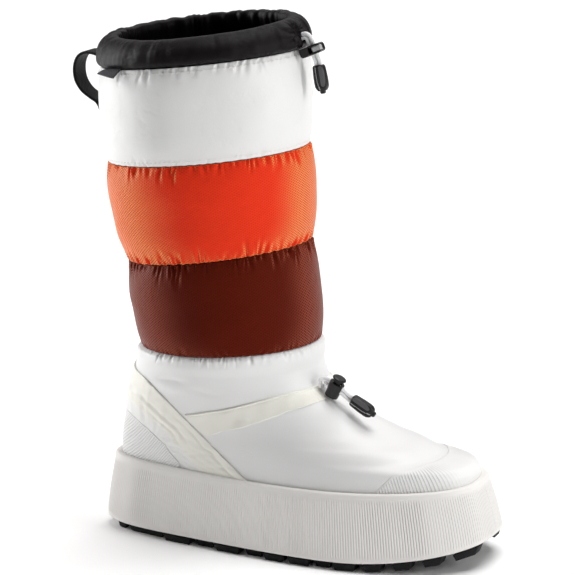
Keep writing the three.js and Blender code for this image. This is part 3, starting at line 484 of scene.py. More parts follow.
def quiltNylon(name, colour, dark, paintedSheenColour=None, dots=0.0, roughness=0.42, tone=0.04, thread=0.45, specular=0.3):
    material, tree, shader = newMaterial(name, roughness, specular=specular, tint=paintedSheenColour or (1, 1, 1))
    cloth = clothPlace(tree)
    base = useGroup(tree, toneGroup, Color=(*colour, 1), Amount=tone, Scale=45.0)["Color"]
    bumps = [
        (useGroup(tree, crumpleGroup, Scale=90.0, Sharp=0.8)["Height"], 0.5),
        (useGroup(tree, weaveGroup, Cloth=cloth, Thread=thread)["Height"], 0.02),
    ]
    if paintedSheenColour:
        # painted sheen: the satin nylon's colour turns toward a lighter sheen colour, and its dots show more
        # strongly, where the cloth turns from the eye
        facing = addNode(tree, "ShaderNodeLayerWeight", {"Blend": 0.5}).outputs["Facing"]
        base = mixColour(tree, remap(tree, facing, 0.12, 0.45), base, (*paintedSheenColour, 1))
        marks = useGroup(tree, dotGroup, Cloth=cloth, Pitch=3.0, Size=0.27)["Dots"]
        shown = sums(tree, "MULTIPLY", marks, remap(tree, facing, 0.05, 0.5, dots * 0.25, dots))
        base = mixColour(tree, shown, base, (*dark, 1))
        bumps.append((sums(tree, "SUBTRACT", 1.0, marks), 0.1))
    link(tree, base, shader.inputs["Base Color"])
    stackBumps(tree, shader, bumps)
    return material


def plainFilm(name, colour, roughness, ribs=None, tone=0.03, crumple=0.25, coat=0.0, grain=0.0, grooveShade=0.12,
              margin=None, grooveShadeTone=(0.3, 0.3, 0.3)):
    material, tree, shader = newMaterial(name, roughness, coat=coat, specular=0.4)
    base = useGroup(tree, toneGroup, Color=(*colour, 1), Amount=tone, Scale=30.0)["Color"]
    bumps = [(useGroup(tree, crumpleGroup, Scale=60.0, Sharp=0.5)["Height"], crumple)]
    if grain:
        bumps.append((useGroup(tree, crumpleGroup, Scale=900.0, Sharp=0.3)["Height"], grain))
    if ribs:
        lines = useGroup(tree, ribGroup, Cloth=clothPlace(tree), **ribs)
        # painted shade: the rib grooves are darkened toward the groove shade tone
        base = mixColour(tree, sums(tree, "MULTIPLY", lines["Grooves"], grooveShade), base, (*grooveShadeTone, 1))
        bumps.append((lines["Height"], 0.3))
    if margin:
        # the cloth's third value marks a margin of another colour
        marked = addNode(tree, "ShaderNodeSeparateXYZ", {0: clothPlace(tree)}).outputs[2]
        base = mixColour(tree, marked, base, (*margin, 1))
    link(tree, base, shader.inputs["Base Color"])
    stackBumps(tree, shader, bumps)
    return material


def blackCloth(name, colour, roughness, sheen, thread=0.6, weave=0.05, crumple=0.6):
    material, tree, shader = newMaterial(name, roughness, sheen=sheen, sheenRoughness=0.35, specular=0.1)
    base = useGroup(tree, toneGroup, Color=(*colour, 1), Amount=0.12, Scale=70.0)["Color"]
    link(tree, base, shader.inputs["Base Color"])
    stackBumps(tree, shader, [
        (useGroup(tree, crumpleGroup, Scale=110.0, Sharp=1.0)["Height"], crumple),
        (useGroup(tree, weaveGroup, Cloth=clothPlace(tree), Thread=thread)["Height"], weave),
    ])
    return material


def mouldedPlastic(name, colour, roughness, grain=0.03, specular=0.3):
    material, tree, shader = newMaterial(name, roughness, specular=specular)
    base = useGroup(tree, toneGroup, Color=(*colour, 1), Amount=0.08, Scale=200.0)["Color"]
    link(tree, base, shader.inputs["Base Color"])
    stackBumps(tree, shader, [(useGroup(tree, crumpleGroup, Scale=1500.0, Sharp=0.2)["Height"], grain)])
    return material


looks = {
    "whiteNylon": quiltNylon("whiteNylon", (0.80, 0.80, 0.79), (0.5, 0.5, 0.5), roughness=0.4, tone=0.015),
    # the third colour of each coloured nylon is its painted sheen colour
    "orangeNylon": quiltNylon(
        "orangeNylon", (0.84, 0.042, 0.015), (0.30, 0.012, 0.004), (0.95, 0.25, 0.08), dots=0.8,
        specular=0.14),
    "rustNylon": quiltNylon(
        "rustNylon", (0.105, 0.0115, 0.005), (0.016, 0.002, 0.001), (0.27, 0.055, 0.03), dots=0.9,
        specular=0.08),
    "footFilm": plainFilm("footFilm", (0.77, 0.77, 0.765), 0.42, crumple=0.22, grain=0.01),
    "toeFilm": plainFilm(
        "toeFilm", (0.80, 0.80, 0.79), 0.45, grooveShade=0.3,
        ribs={"Pitch": 2.5, "Across": 1.0, "Along": -0.35, "Groove": 0.6}),
    "counterFilm": plainFilm(
        "counterFilm", (0.80, 0.80, 0.79), 0.45, grooveShade=0.35,
        ribs={"Pitch": 1.8, "Across": 0.64, "Along": -0.77, "Groove": 0.6}),
    "creamTape": plainFilm(
        "creamTape", (0.80, 0.79, 0.72), 0.38, crumple=0.5, grain=0.012, tone=0.04,
        margin=(0.79, 0.79, 0.77)),
    "cuffSatin": blackCloth("cuffSatin", (0.0068, 0.005, 0.0058), 0.4, 0.02),
    "liningSatin": blackCloth("liningSatin", (0.006, 0.005, 0.0055), 0.45, 0.03),
    "insoleCloth": blackCloth("insoleCloth", (0.02, 0.02, 0.022), 0.9, 0.1, thread=1.2, weave=0.15),
    "webbing": blackCloth("webbing", (0.009, 0.009, 0.0095), 0.5, 0.1, thread=1.1, weave=0.22, crumple=0.1),
    "tabCloth": blackCloth("tabCloth", (0.045, 0.045, 0.05), 0.6, 0.1, thread=0.9, weave=0.2, crumple=0.1),
    "cordBraid": blackCloth("cordBraid", (0.95, 0.95, 0.95), 0.6, 0.3, thread=0.7, weave=0.12, crumple=0.02),
    "foam": plainFilm(
        "foam", (0.78, 0.76, 0.735), 0.62, crumple=0.05, grain=0.05, tone=0.02, grooveShade=0.09,
        ribs={"Pitch": 1.9, "Across": 1.0, "Along": 0.0, "Groove": 0.7}, grooveShadeTone=(0.5, 0.46, 0.43)),
    "rubber": mouldedPlastic("rubber", (0.010, 0.010, 0.0105), 0.7, grain=0.08, specular=0.15),
    "blackPlastic": mouldedPlastic("blackPlastic", (0.011, 0.0105, 0.0105), 0.35),
    "greyPlastic": mouldedPlastic("greyPlastic", (0.42, 0.42, 0.425), 0.4),
    "facetPlastic": mouldedPlastic("facetPlastic", (0.11, 0.108, 0.113), 0.35),
    "paleThread": mouldedPlastic("paleThread", (0.78, 0.77, 0.74), 0.6),
}
print("materials ready:", len(looks))


# Cords, locks and ends. A frame is its middle and its tilt in the upright plane, in degrees.
cordSizes = {
    "diameter": 2.5, "plump": 1.13, "gap": 0.3, "entryDepth": 7.5, "channelY": 2, "strandHeight": 2,
    "sides": 18, "braid": 0.03, "braidTurns": 3, "braidStep": 1.6,
}
strandSpacing = cordSizes["diameter"] + 2 * cordSizes["gap"]
collarFront = formPoint(collarSeam["height"], 0.0)
instepFront = formPoint(riseLevel(0.725), 0.0)
collarLock = {"middle": collarFront + (10.5, -7.5, 0.5), "tilt": -22}
collarEnd = {"middle": collarFront + (14.3, -5.5, -10), "tilt": -9.5}
ankleLock = {"middle": instepFront + (13.3, -13.6, -3.2), "tilt": 27}
ankleEnd = {"middle": instepFront + (26.1, -12, -9.7), "tilt": -60}


def inFrame(holder, points):
    points = np.atleast_2d(np.asarray(points, float))
    tilt = math.radians(holder["tilt"])
    x = points[:, 0] * math.cos(tilt) + points[:, 2] * math.sin(tilt)
    z = -points[:, 0] * math.sin(tilt) + points[:, 2] * math.cos(tilt)
    return np.stack([x, points[:, 1], z], axis=-1) + np.array(holder["middle"])


# Smooth line through points, closer where the points are close
def smoothLine(points, count):
    points = np.asarray(points, float)
    padded = np.vstack([2 * points[0] - points[1], points, 2 * points[-1] - points[-2]])
    line = []
    for i in range(1, len(padded) - 2):
        p0, p1, p2, p3 = padded[i - 1:i + 3]
        spans = [max(np.linalg.norm(b - a), 1e-6) ** 0.5 for a, b in ((p0, p1), (p1, p2), (p2, p3))]
        t1 = (p1 - p0) / spans[0] - (p2 - p0) / (spans[0] + spans[1]) + (p2 - p1) / spans[1]
        t2 = (p2 - p1) / spans[1] - (p3 - p1) / (spans[1] + spans[2]) + (p3 - p2) / spans[2]
        t1, t2 = t1 * spans[1], t2 * spans[1]
        for s in np.linspace(0, 1, 16, endpoint=False):
            a, b = 2 * s ** 3 - 3 * s ** 2 + 1, s ** 3 - 2 * s ** 2 + s
            c, d = -2 * s ** 3 + 3 * s ** 2, s ** 3 - s ** 2
            line.append(a * p1 + b * t1 + c * p2 + d * t2)
    line.append(points[-1])
    line = np.array(line)
    along = np.concatenate([[0], np.cumsum(np.linalg.norm(np.diff(line, axis=0), axis=1))])
    even = np.linspace(0, along[-1], count)
    return np.stack([np.interp(even, along, line[:, k]) for k in range(3)], axis=-1), along[-1]


def tubeMesh(name, line, radius, sides, ripple):
    tangents = np.gradient(line, axis=0)
    tangents /= np.linalg.norm(tangents, axis=1, keepdims=True)
    normal = np.cross(tangents[0], (0.3, 1, 0.2))
    rings = []
    for i, (point, tangent) in enumerate(zip(line, tangents)):
        normal = normal - tangent * np.dot(normal, tangent)
        normal /= np.linalg.norm(normal)
        other = np.cross(tangent, normal)
        angles = np.arange(sides) / sides * turn
        reach = radius * (1 + ripple(i, angles))
        outward = np.cos(angles)[:, None] * normal + np.sin(angles)[:, None] * other
        rings.append(point + reach[:, None] * outward)
    points = np.array(rings)
    length = np.linalg.norm(np.diff(line, axis=0), axis=1).sum()
    cloth = clothCoordinates(len(line), sides, 2 * math.pi * radius, length)
    return gridMesh(name, points, caps=True, cloth=cloth)


def collarStrand(side):
    apart = side * strandSpacing / 2
    y = collarEnd["middle"][1]
    inLock = inFrame(collarLock, [(apart, cordSizes["channelY"], rise) for rise in (4.6, 0, -4.6)])
    inEnd = inFrame(collarEnd, [(apart, 0, rise) for rise in (1.5, 0.2 - cordSizes["entryDepth"])])
    # out, up and how far the two strands part outward and upward
    rows = [(2.2, 9.4, 0, 1), (4.9, 10, 0.4, 0.9), (7.3, 8.4, 0.8, 0.6)]
    start = [
        (collarFront[0] + out + apart * partOut, y, collarFront[2] + up + apart * partUp)
        for out, up, partOut, partUp in rows
    ]
    return np.vstack([start, inLock, inEnd])


def ankleStrand(side):
    apart = side * strandSpacing / 2
    inLock = inFrame(ankleLock, [(along, 0, cordSizes["strandHeight"] + apart) for along in (-5.2, 0, 5.2)])
    inEnd = inFrame(ankleEnd, [(apart, 0, rise) for rise in (2.2, 0.2 - cordSizes["entryDepth"])])
    fromOuter = [(3.1, -11, -2.2), (2.9, -14.5, 1.2), (3.3, -15.2, 3.6), (5.6, -14.2, 4.6)]
    fromInner = [(2.7, 9.8, -1.8), (3.3, 4, 0.1), (3.5, -2, 1.3), (4.2, -8, 1.4), (5.8, -11.8, 1.2)]
    start = np.array(fromOuter if side > 0 else fromInner) + instepFront
    return np.vstack([start, inLock, inEnd])


def braid(i, angles):
    first, second = cordSizes["braidTurns"] * angles, i * cordSizes["braidStep"]
    return cordSizes["braid"] * np.sin(first + second) * np.sin(first - second)


def makeCords():
    # the lock sits on both strands, and the end piece holds both
    for spot, route in (("collar", collarStrand), ("ankle", ankleStrand)):
        for side, label in ((-1, "inner"), (1, "outer")):
            line, length = smoothLine(route(side), 36)

            fine, _ = smoothLine(route(side), 120)
            name = f"{spot}Cord{label.capitalize()}"
            radius = cordSizes["diameter"] / 2 * cordSizes["plump"]
            mesh = tubeMesh(name, fine, radius, cordSizes["sides"], braid)
            item = addPiece(name, mesh, looks["cordBraid"], [f"{spot}_cord_{label}"])
            print(name, "length", round(length, 1), "mm")


# Cord end: two shells with a pale seam between them, an oval facet on the front one, and a nub
cordEnd = {
    "length": 20, "width": 9.6, "depth": 7, "sides": 128, "square": 0.55,
    "seamPlace": -1.9, "seamWidth": 0.32, "seamDepth": 0.3, "seamTurn": 11, "seamEnd": 17.4,
    "facetPlace": 1.9, "facetHalf": 2.5, "facetMiddle": 8.0, "facetReach": 7.6, "facetDepth": 0.4,
    # along, wide, deep
    "rows": [
        (0, 0.7, 0.7), (0.02, 0.8, 0.84), (0.06, 0.88, 0.93), (0.2, 0.93, 0.98), (0.45, 1, 1),
        (0.66, 1, 0.98), (0.76, 0.97, 0.94), (0.84, 0.8, 0.82), (0.895, 0.62, 0.68), (0.905, 0.4, 0.52),
        (0.97, 0.37, 0.48), (1, 0.28, 0.38),
    ],
}


def makeCordEnd(name, holder, node):
    rows = np.array(cordEnd["rows"])
    fine = np.unique(np.concatenate([np.linspace(0, 1, 60), rows[:, 0]]))
    wide = np.interp(fine, rows[:, 0], rows[:, 1])
    deep = np.interp(fine, rows[:, 0], rows[:, 2])
    sides = cordEnd["sides"]
    angles = (np.arange(sides) + 0.5) / sides * turn
    x = cordEnd["width"] / 2 * power(np.cos(angles), cordEnd["square"])[None, :] * wide[:, None]
    y = cordEnd["depth"] / 2 * power(np.sin(angles), cordEnd["square"])[None, :] * deep[:, None]
    along = fine[:, None] * cordEnd["length"]
    front = y < -0.5
    # the seam runs in along the shells and turns toward the nub
    seam = cordEnd["seamPlace"] * (1 - 0.5 * smoothStep((along - cordEnd["seamTurn"]) / 7))
    seamHere = np.exp(-(((x - seam) / cordEnd["seamWidth"]) ** 2)) * front * (along < cordEnd["seamEnd"])
    reach = ((x - cordEnd["facetPlace"]) / cordEnd["facetHalf"]) ** 2
    reach = reach + np.abs((along - cordEnd["facetMiddle"]) / cordEnd["facetReach"]) ** 3
    facet = smoothStep((1.05 - reach) * 4) * front
    y = y + cordEnd["facetDepth"] * facet + cordEnd["seamDepth"] * seamHere
    z = np.broadcast_to(-along, x.shape)
    points = inFrame(holder, np.stack([x, y, z], -1).reshape(-1, 3)).reshape(len(fine), sides, 3)
    mesh = gridMesh(name, points[::-1], caps=True)
    kinds = np.where(seamHere > 0.45, 1, np.where(facet > 0.5, 2, 0))[::-1][:-1].ravel()
    shells = [looks["blackPlastic"], looks["greyPlastic"], looks["facetPlastic"]]
    addPiece(name, mesh, shells, [node])
    for polygon, kind in zip(mesh.polygons, kinds):
        polygon.material_index = int(kind)


# Lock parts keep the solid's form, with eased edges
def makeLockPart(name, nodeName, look, bevel, body):
    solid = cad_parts[nodeName]
    mesh = solid.data.copy()
    mesh.transform(solid.matrix_world)
    mesh.materials.clear()
    item = addPiece(name, mesh, looks[look], [nodeName], body)
    edge = item.modifiers.new("softEdges", "BEVEL")
    edge.width = bevel * 0.001
    edge.segments = 2
    edge.limit_method = "ANGLE"
    edge.angle_limit = math.radians(35)


makeCordEnd("collarCordEnd", collarEnd, "collar_cord_end")
makeCordEnd("ankleCordEnd", ankleEnd, "ankle_cord_end")
makeLockPart("collarLockBody", "collar_lock_body", "blackPlastic", 0.35, "boot")
makeLockPart("collarLockButton", "collar_lock_button", "greyPlastic", 0.2, "collar_button")
makeLockPart("ankleLockBody", "ankle_lock_body", "blackPlastic", 0.3, "boot")
makeLockPart("ankleLockButton", "ankle_lock_button", "blackPlastic", 0.3, "ankle_button")
makeCords()
print("cords and locks made")


# Uneven curve round a ring, from a few waves
def lineNoise(seed, arc, girth, waves, scale=1.0):
    draw = np.random.default_rng(seed)
    total = np.zeros_like(arc)
    for k in waves:
        height = draw.normal() / math.sqrt(len(waves))
        total += height * np.sin(arc / girth * turn * k + draw.uniform(0, turn))
    return total * scale


# Midsole: fine upright ribs between a smooth foot and a smooth lip
midsole = {
    "ribPitch": 1.9, "heelDepth": 0.17, "toeDepth": 0.08, "perRib": 5, "ribStart": 0.05, "ribEnd": 0.9,
    "lipOut": 0.55, "lipRound": 2.2, "lipStart": 0.96, "recess": (50, 46.5),
    # rise, inset share
    "profile": [(0, 0.12), (0.025, 0), (0.35, 0.2), (0.7, 0.56), (0.94, 0.86), (1, 1.0)],
}


def solePoint(angle, insetShare, inset):
    exponent = 2 / sole["square"]
    along = power(np.cos(angle), exponent)
    ends = insetShare * np.where(along > 0, sole["toeInset"], sole["heelInset"]) + inset
    x = (sole["length"] / 2 - ends) * along
    side = halfWidth(x, sole["heelWidth"] / 2, sole["ballWidth"] / 2) - insetShare * sole["sideInset"] - inset
    return x, swingAt(x) + side * power(np.sin(angle), exponent)


def springAt(x):
    half = sole["length"] / 2
    toe = np.clip((x - sole["toeSpringStart"]) / (half - sole["toeSpringStart"]), 0, 1)
    heel = np.clip((sole["heelSpringStart"] - x) / (half + sole["heelSpringStart"]), 0, 1)
    return sole["toeSpring"] * toe * toe + sole["heelSpring"] * heel * heel


def creaseAt(x):
    t = x / sole["length"] + 0.5
    ends = sole["heelTop"] * (1 - t) * (1 - 2 * t) + sole["toeTop"] * t * (2 * t - 1)
    return ends + 4 * sole["waistTop"] * t * (1 - t)


def evenSoleAngles(count):
    fine = np.linspace(0, turn, 2881)
    x, y = solePoint(fine, 0.3, 0)
    return evenlyAlong(fine, np.hypot(np.diff(x), np.diff(y)), count)


def makeMidsole():
    _, girth = evenSoleAngles(8)
    count = int(girth / midsole["ribPitch"]) * midsole["perRib"]
    angles, girth = evenSoleAngles(count)
    arc = np.arange(count) / midsole["perRib"] * midsole["ribPitch"]
    inset = curveThrough(*zip(*midsole["profile"]))
    wave = 0.5 + 0.5 * np.cos(np.arange(count) / midsole["perRib"] * turn)
    # the ribs are worn deeper and shallower in places
    worn = 1 + lineNoise(61, arc, girth, range(4, 40, 3), 0.35)
    toeward = smoothStep(np.cos(angles) * 0.5 + 0.5)
    ribDepth = midsole["heelDepth"] + (midsole["toeDepth"] - midsole["heelDepth"]) * toeward
    rings, cloth = [], []

    def ring(rise, share, extra, ribbed):
        cut = ribDepth * wave ** 2 * ribbed * worn
        x, y = solePoint(angles, share, extra + cut)
        low = sole["treadDepth"] + springAt(x)
        rings.append(np.stack([x, y, low + (creaseAt(x) - low) * rise], axis=-1))
        # the third value sets how strongly the ribs' painted groove shade shows
        cloth.append(np.stack([arc, np.full(count, rise * 50), np.clip(ribbed * worn, 0, 1.4)], axis=-1))

    for shrink in (40, 20, 6):
        ring(0, 0.12, shrink, 0)
    rises = [0, 0.008, 0.02, 0.035, *np.linspace(0.06, 0.92, 26), 0.945, midsole["lipStart"]]
    for rise in rises:
        fade = smoothStep((rise - midsole["ribStart"]) / 0.04) * smoothStep((midsole["ribEnd"] - rise) / 0.03)
        lip = -midsole["lipOut"] * smoothStep((rise - midsole["ribEnd"] + 0.02) / 0.04)
        ring(rise, inset(rise), lip, fade)
    top = inset(midsole["lipStart"])
    for step in np.linspace(0, 1, 9)[1:]:
        bend = step * math.pi / 2
        extra = midsole["lipRound"] * (1 - math.cos(bend)) - midsole["lipOut"]
        ring(midsole["lipStart"] + (1 - midsole["lipStart"]) * math.sin(bend), top, extra, 0)
    rimIn = formPoint(sole["heelTop"], angleOnForm(rings[-1]))
    for share in (0.5, 1.0):
        mixed = rings[-1] * (1 - share) + rimIn * share
        mixed[:, 2] = creaseAt(mixed[:, 0]) - 0.5 * share
        rings.append(mixed)
    for level in midsole["recess"]:
        lower = rimIn.copy()
        lower[:, 2] = level
        rings.append(lower)
    cloth += [np.zeros((count, 3))] * 4
    mesh = gridMesh("midsoleFoam", np.array(rings), caps=True, cloth=np.array(cloth))
    addPiece("midsoleFoam", mesh, looks["foam"], ["midsole"])


# The form's angles whose points lie beside the given ones, by direction from a line down the middle
def angleOnForm(points):
    fine = np.linspace(0, turn, 2881)[:-1]
    ring = formPoint(sole["heelTop"], fine)
    found = []
    for point in points:
        gaps = (ring[:, 0] - point[0]) ** 2 + (ring[:, 1] - point[1]) ** 2
        found.append(fine[np.argmin(gaps)])
    return np.array(found)


makeMidsole()
print("midsole made")

# Outsole: plate, edge lugs, middle lugs and small lugs between them
outsole = {
    "plateInset": 10, "lugTop": 1, "plateTop": 0.3, "plateThickness": 1.9, "bevel": 0.5, "lugReach": 13,
    "deepEdge": 1.2, "shallowEdge": 4.5, "lowerDraw": 1.5,
    "middleCount": 13, "middleSpan": 0.8, "middleFill": 0.55, "middleHalves": (13, 9),
    "smallInset": 16.5, "smallReach": 7, "smallFill": 0.64, "smallLimit": 0.75,
    # in from the plate's edge, share up the plate: its lower face, round its edge, its upper face
    "deepestInset": 42,
    "plateRows": [
        (60, 0), (30, 0), (8, 0), (0.5, 0), (0, 0.4), (0, 1), (0.5, 1), (8, 1), (30, 1), (60, 1),
    ],
    # from, to, deep
    "lugs": [
        (-0.909, -0.85, False), (-0.829, -0.62, False), (-0.605, -0.448, True), (-0.425, -0.325, False),
        (-0.309, -0.167, True), (-0.145, -0.05, False), (-0.035, 0.075, True), (0.096, 0.213, True),
        (0.229, 0.315, False), (0.33, 0.443, True), (0.476, 0.565, True), (0.616, 0.701, True),
        (0.749, 0.832, True), (0.876, 0.965, True),
    ],
}


def blockFaces(start):
    quads = [(3, 2, 1, 0), (4, 5, 6, 7), (0, 1, 5, 4), (1, 2, 6, 5), (2, 3, 7, 6), (3, 0, 4, 7)]
    return [tuple(start + k for k in quad) for quad in quads]


def soleSide(x, inset, side):
    share = min(abs(x) / (sole["length"] / 2), 0.999)
    bow = (1 - share ** sole["square"]) ** (1 / sole["square"])
    half = float(halfWidth(x, sole["heelWidth"] / 2, sole["ballWidth"] / 2)) * bow
    return float(swingAt(x)) + side * max(half - inset, 2)


def lugCorners(low, high, edge, reach, side):
    corners = []
    for z, draw in ((0, outsole["lowerDraw"]), (sole["treadDepth"] - outsole["lugTop"], 0)):
        spots = [
            (low + draw, edge + draw), (high - draw, edge + draw),
            (high - draw, edge + reach - draw), (low + draw, edge + reach - draw),
        ]
        spots = spots if side > 0 else spots[::-1]
        for x, inset in spots[::-1]:
            corners.append((x, soleSide(x, inset, side), z + float(springAt(x))))
    return corners


def makeOutsole():
    vertices, faces = [], []

    def addBlock(corners):
        faces.extend(blockFaces(len(vertices)))
        vertices.extend(corners)

    half = sole["length"] / 2
    for side in (-1, 1):
        for low, high, deep in outsole["lugs"]:
            edge = outsole["deepEdge"] if deep else outsole["shallowEdge"]
            addBlock(lugCorners(low * half, high * half, edge, outsole["lugReach"], side))
            # a smaller lug behind each edge lug
            if abs((low + high) / 2) < outsole["smallLimit"]:
                middle, reach = (low + high) / 2 * half, (high - low) * half * outsole["smallFill"] / 2
                spot = (middle - reach, middle + reach, edge + outsole["smallInset"], outsole["smallReach"])
                addBlock(lugCorners(*spot, side))
    span = sole["length"] * outsole["middleSpan"]
    pitch = span / outsole["middleCount"]
    for i in range(outsole["middleCount"]):
        middle = pitch * (i + 0.5) - span / 2
        wide = outsole["middleHalves"][i % 2]
        reach = pitch * outsole["middleFill"] / 2
        corners = []
        for z in (0, sole["treadDepth"] - outsole["lugTop"]):
            for x, y in ((-reach, -wide), (reach, -wide), (reach, wide), (-reach, wide)):
                corners.append((middle + x, float(swingAt(middle)) + y, z + float(springAt(middle))))
        addBlock(corners)
    mesh = bpy.data.meshes.new("outsoleLugs")
    mesh.from_pydata(place(vertices).tolist(), [], faces)
    lugs = addPiece("outsoleLugs", mesh, looks["rubber"], ["outsole"])
    edge = lugs.modifiers.new("roundedLugs", "BEVEL")
    edge.width = outsole["bevel"] * 0.001
    edge.segments = 2
    edge.limit_method = "ANGLE"
    mesh.shade_smooth()
    angles, _ = evenSoleAngles(360)
    rings = []
    plateTop = sole["treadDepth"] - outsole["plateTop"]
    for inset, rise in outsole["plateRows"]:
        x, y = solePoint(angles, 0, min(outsole["plateInset"] + inset, outsole["deepestInset"]))
        z = plateTop - outsole["plateThickness"] * (1 - rise) + springAt(x)
        rings.append(np.stack([x, y, z], -1))
    plate = gridMesh("outsolePlate", np.array(rings), caps=True)
    addPiece("outsolePlate", plate, looks["rubber"], ["outsole"])


makeOutsole()
print("outsole made")


# Gathers run away from a seam. Each has a place along it, a width, a length, a slant and a depth.
def gatherFolds(arc, girth, distance, seed, count, width, length, depth, slant=0.25, busy=None):
    draw = np.random.default_rng(seed)
    field = np.zeros((len(distance), len(arc)))
    for _ in range(count):
        at = draw.uniform(0, girth)
        amount = 1.0 if busy is None else float(busy(at))
        wide = draw.uniform(*width)
        long = draw.uniform(*length) * (0.6 + 0.4 * amount)
        lean = draw.uniform(-slant, slant)
        deep = draw.uniform(0.45, 1) * depth * amount
        rows = (distance < long) & (distance >= 0)
        if not rows.any():
            continue
        away = distance[rows][:, None]
        spread = wide * (0.75 + 0.9 * away / long)
        u = (arc[None, :] - at - lean * away + girth / 2) % girth - girth / 2
        u = u / spread
        shape = -np.exp(-u * u) + 0.42 * np.exp(-(u - 1.7) ** 2) + 0.42 * np.exp(-(u + 1.7) ** 2)
        fade = (1 - away / long) ** 1.4 * smoothStep((away + 0.5) / 1.6)
        field[rows] += deep * fade * shape
    return field


# Broad soft troughs and ridges, placed one by one. Each lies at an angle in degrees and a share up the
# piece. Long and tall are its half sizes in mm, turned by slant degrees, deep is negative for a trough.
def softFolds(arcAt, arc, girth, up, height, folds):
    field = np.zeros((len(up), len(arc)))
    for degrees, share, long, tall, slant, deep in folds:
        du = (arc[None, :] - arcAt(degrees) + girth / 2) % girth - girth / 2
        dv = up[:, None] - share * height
        turned = math.radians(slant)
        a = du * math.cos(turned) + dv * math.sin(turned)
        b = -du * math.sin(turned) + dv * math.cos(turned)
        field += deep * np.exp(-(a / long) ** 2 - (b / tall) ** 2)
    return field


# Shaft panels: padded bands between seams
panels = {
    "lower": {
        "seams": (ankleSeam, lowerSeam), "look": "rustNylon", "slot": "rust_quilt",
        "puff": 4.0, "lowGathers": (70, 0.9, (3, 8)), "highGathers": (120, 2.0, (6, 18)), "seed": 11,
        "folds": [
            (-100, 0.45, 30, 14, 10, -0.9), (-150, 0.6, 20, 9, -20, 0.8), (-60, 0.35, 26, 10, 12, 0.7),
        ],
    },
    "middle": {
        "seams": (lowerSeam, middleSeam), "look": "orangeNylon", "slot": "orange_quilt",
        "puff": 4.8, "lowGathers": (120, 2.0, (6, 17)), "highGathers": (125, 1.9, (5, 15)), "seed": 23,
        "folds": [
            (-104, 0.5, 34, 16, 0, -0.8), (-145, 0.3, 18, 10, 35, 0.9), (-60, 0.6, 24, 12, -10, 0.7),
        ],
    },
    "upper": {
        "seams": (middleSeam, collarSeam), "look": "whiteNylon", "slot": "white_quilt",
        "puff": 3.6, "lowGathers": (80, 0.7, (3, 8)), "highGathers": (115, 1.6, (5, 14)), "seed": 37,
        "folds": [
            (-22, 0.78, 5, 10, 20, -1.3), (-30, 0.6, 9, 14, -35, 0.8), (-110, 0.5, 40, 20, 0, -0.5),
        ],
    },
}


panelMesh = {"columns": 640, "rows": 56, "dotRepeat": 3.3, "backRun": (3, 30, 60, 63)}


def makePanel(label, panel):
    name = f"shaftPanel{label.capitalize()}"
    lowSeam, highSeam = panel["seams"]
    low, high = lowSeam["height"] + layers["gap"], highSeam["height"] - layers["gap"]
    height = high - low
    columns, rows = panelMesh["columns"], panelMesh["rows"]
    angles, girth = evenAngles((low + high) / 2, columns)
    arc = np.arange(columns) / columns * girth
    spread = np.linspace(-1, 1, rows)
    share = 0.5 + 0.5 * np.sign(spread) * (1 - (1 - np.abs(spread)) ** 1.25)
    up = share * height
    # the cushion's crown, with its lower edge hanging a little over the seam below
    crown = (1 - np.abs(2 * share - 1) ** 3.0)
    out = (panel["puff"] * crown - 1.2)[:, None] * np.ones((1, columns))
    wander = lineNoise(panel["seed"], arc, girth, range(2, 9), 0.5)
    out += crown[:, None] * wander[None, :]

    def gathers(spec, distance, seed):
        count, depth, length = spec
        spots = np.linspace(0, girth, 400)
        clumps = lineNoise(seed + 5, spots, girth, range(3, 14))

        def busy(at):
            return np.clip(0.85 + 0.3 * np.interp(at, spots, clumps), 0.5, 1.35)

        return gatherFolds(arc, girth, distance, seed, count, (0.8, 2.1), length, depth, busy=busy)

    out += gathers(panel["lowGathers"], up, panel["seed"] + 1)
    out += gathers(panel["highGathers"], height - up, panel["seed"] + 2)
    out += softFolds(arcFinder(angles, arc, girth), arc, girth, up, height, panel["folds"]) * crown[:, None]
    # scalloped seam edges, drawn in where the thread pulls
    scallop = lineNoise(panel["seed"] + 9, arc, girth, range(40, 90, 4), 0.5)
    edgeShift = scallop[None, :] * np.exp(-np.minimum(up, height - up)[:, None] / 2.5)
    levels = low + up[:, None] + edgeShift * 0.5
    outer = offsetPoint(levels, angles[None, :], out)
    innerLevels = (low + np.array([1, 0.5, 0]) * height)[:, None] + np.zeros((1, columns))
    inner = offsetPoint(innerLevels, angles[None, :], np.full((3, columns), -layers["panel"]))
    points = np.concatenate([outer, inner])
    # a whole number of dots round the panel, so they meet
    repeats = round(girth / panelMesh["dotRepeat"]) * panelMesh["dotRepeat"]
    u = np.linspace(0, repeats, columns + 1)
    v = np.concatenate([up, [height + run for run in panelMesh["backRun"]]])
    mesh = gridMesh(name, points, loop=True, cloth=(u, v))
    item = addPiece(name, mesh, looks[panel["look"]], [f"shaft_panel_{label}"])


for label, panel in panels.items():
    makePanel(label, panel)
print("shaft panels made")


# Foot shell: smooth white film from the recess in the sole up under the shaft's first seam
footShell = {
    "columns": 560, "rows": 110, "low": 46.8, "gathers": (150, 1.4, (2.5, 9)), "seed": 51,
    # share up, out: the edge turns in under the shaft's first seam
    "swell": [(0, 0), (0.84, 0), (0.93, 1.3), (0.975, 1.0), (1, -1.6)],
    # height, out: down the inner face
    "innerFace": [(120, -5.2), (90, -4.2), (60, -3.9)],
    "folds": [
        (-108, 0.775, 17, 2.2, 2, -1.3), (-108, 0.7, 15, 3.2, 3, 0.7), (-88, 0.695, 15, 3, -2, -0.7),
        (128, 0.66, 17, 3, -4, -1.2), (150, 0.8, 14, 4, 0, -0.6), (0, 0.62, 16, 5, 0, -1.0),
    ],
}


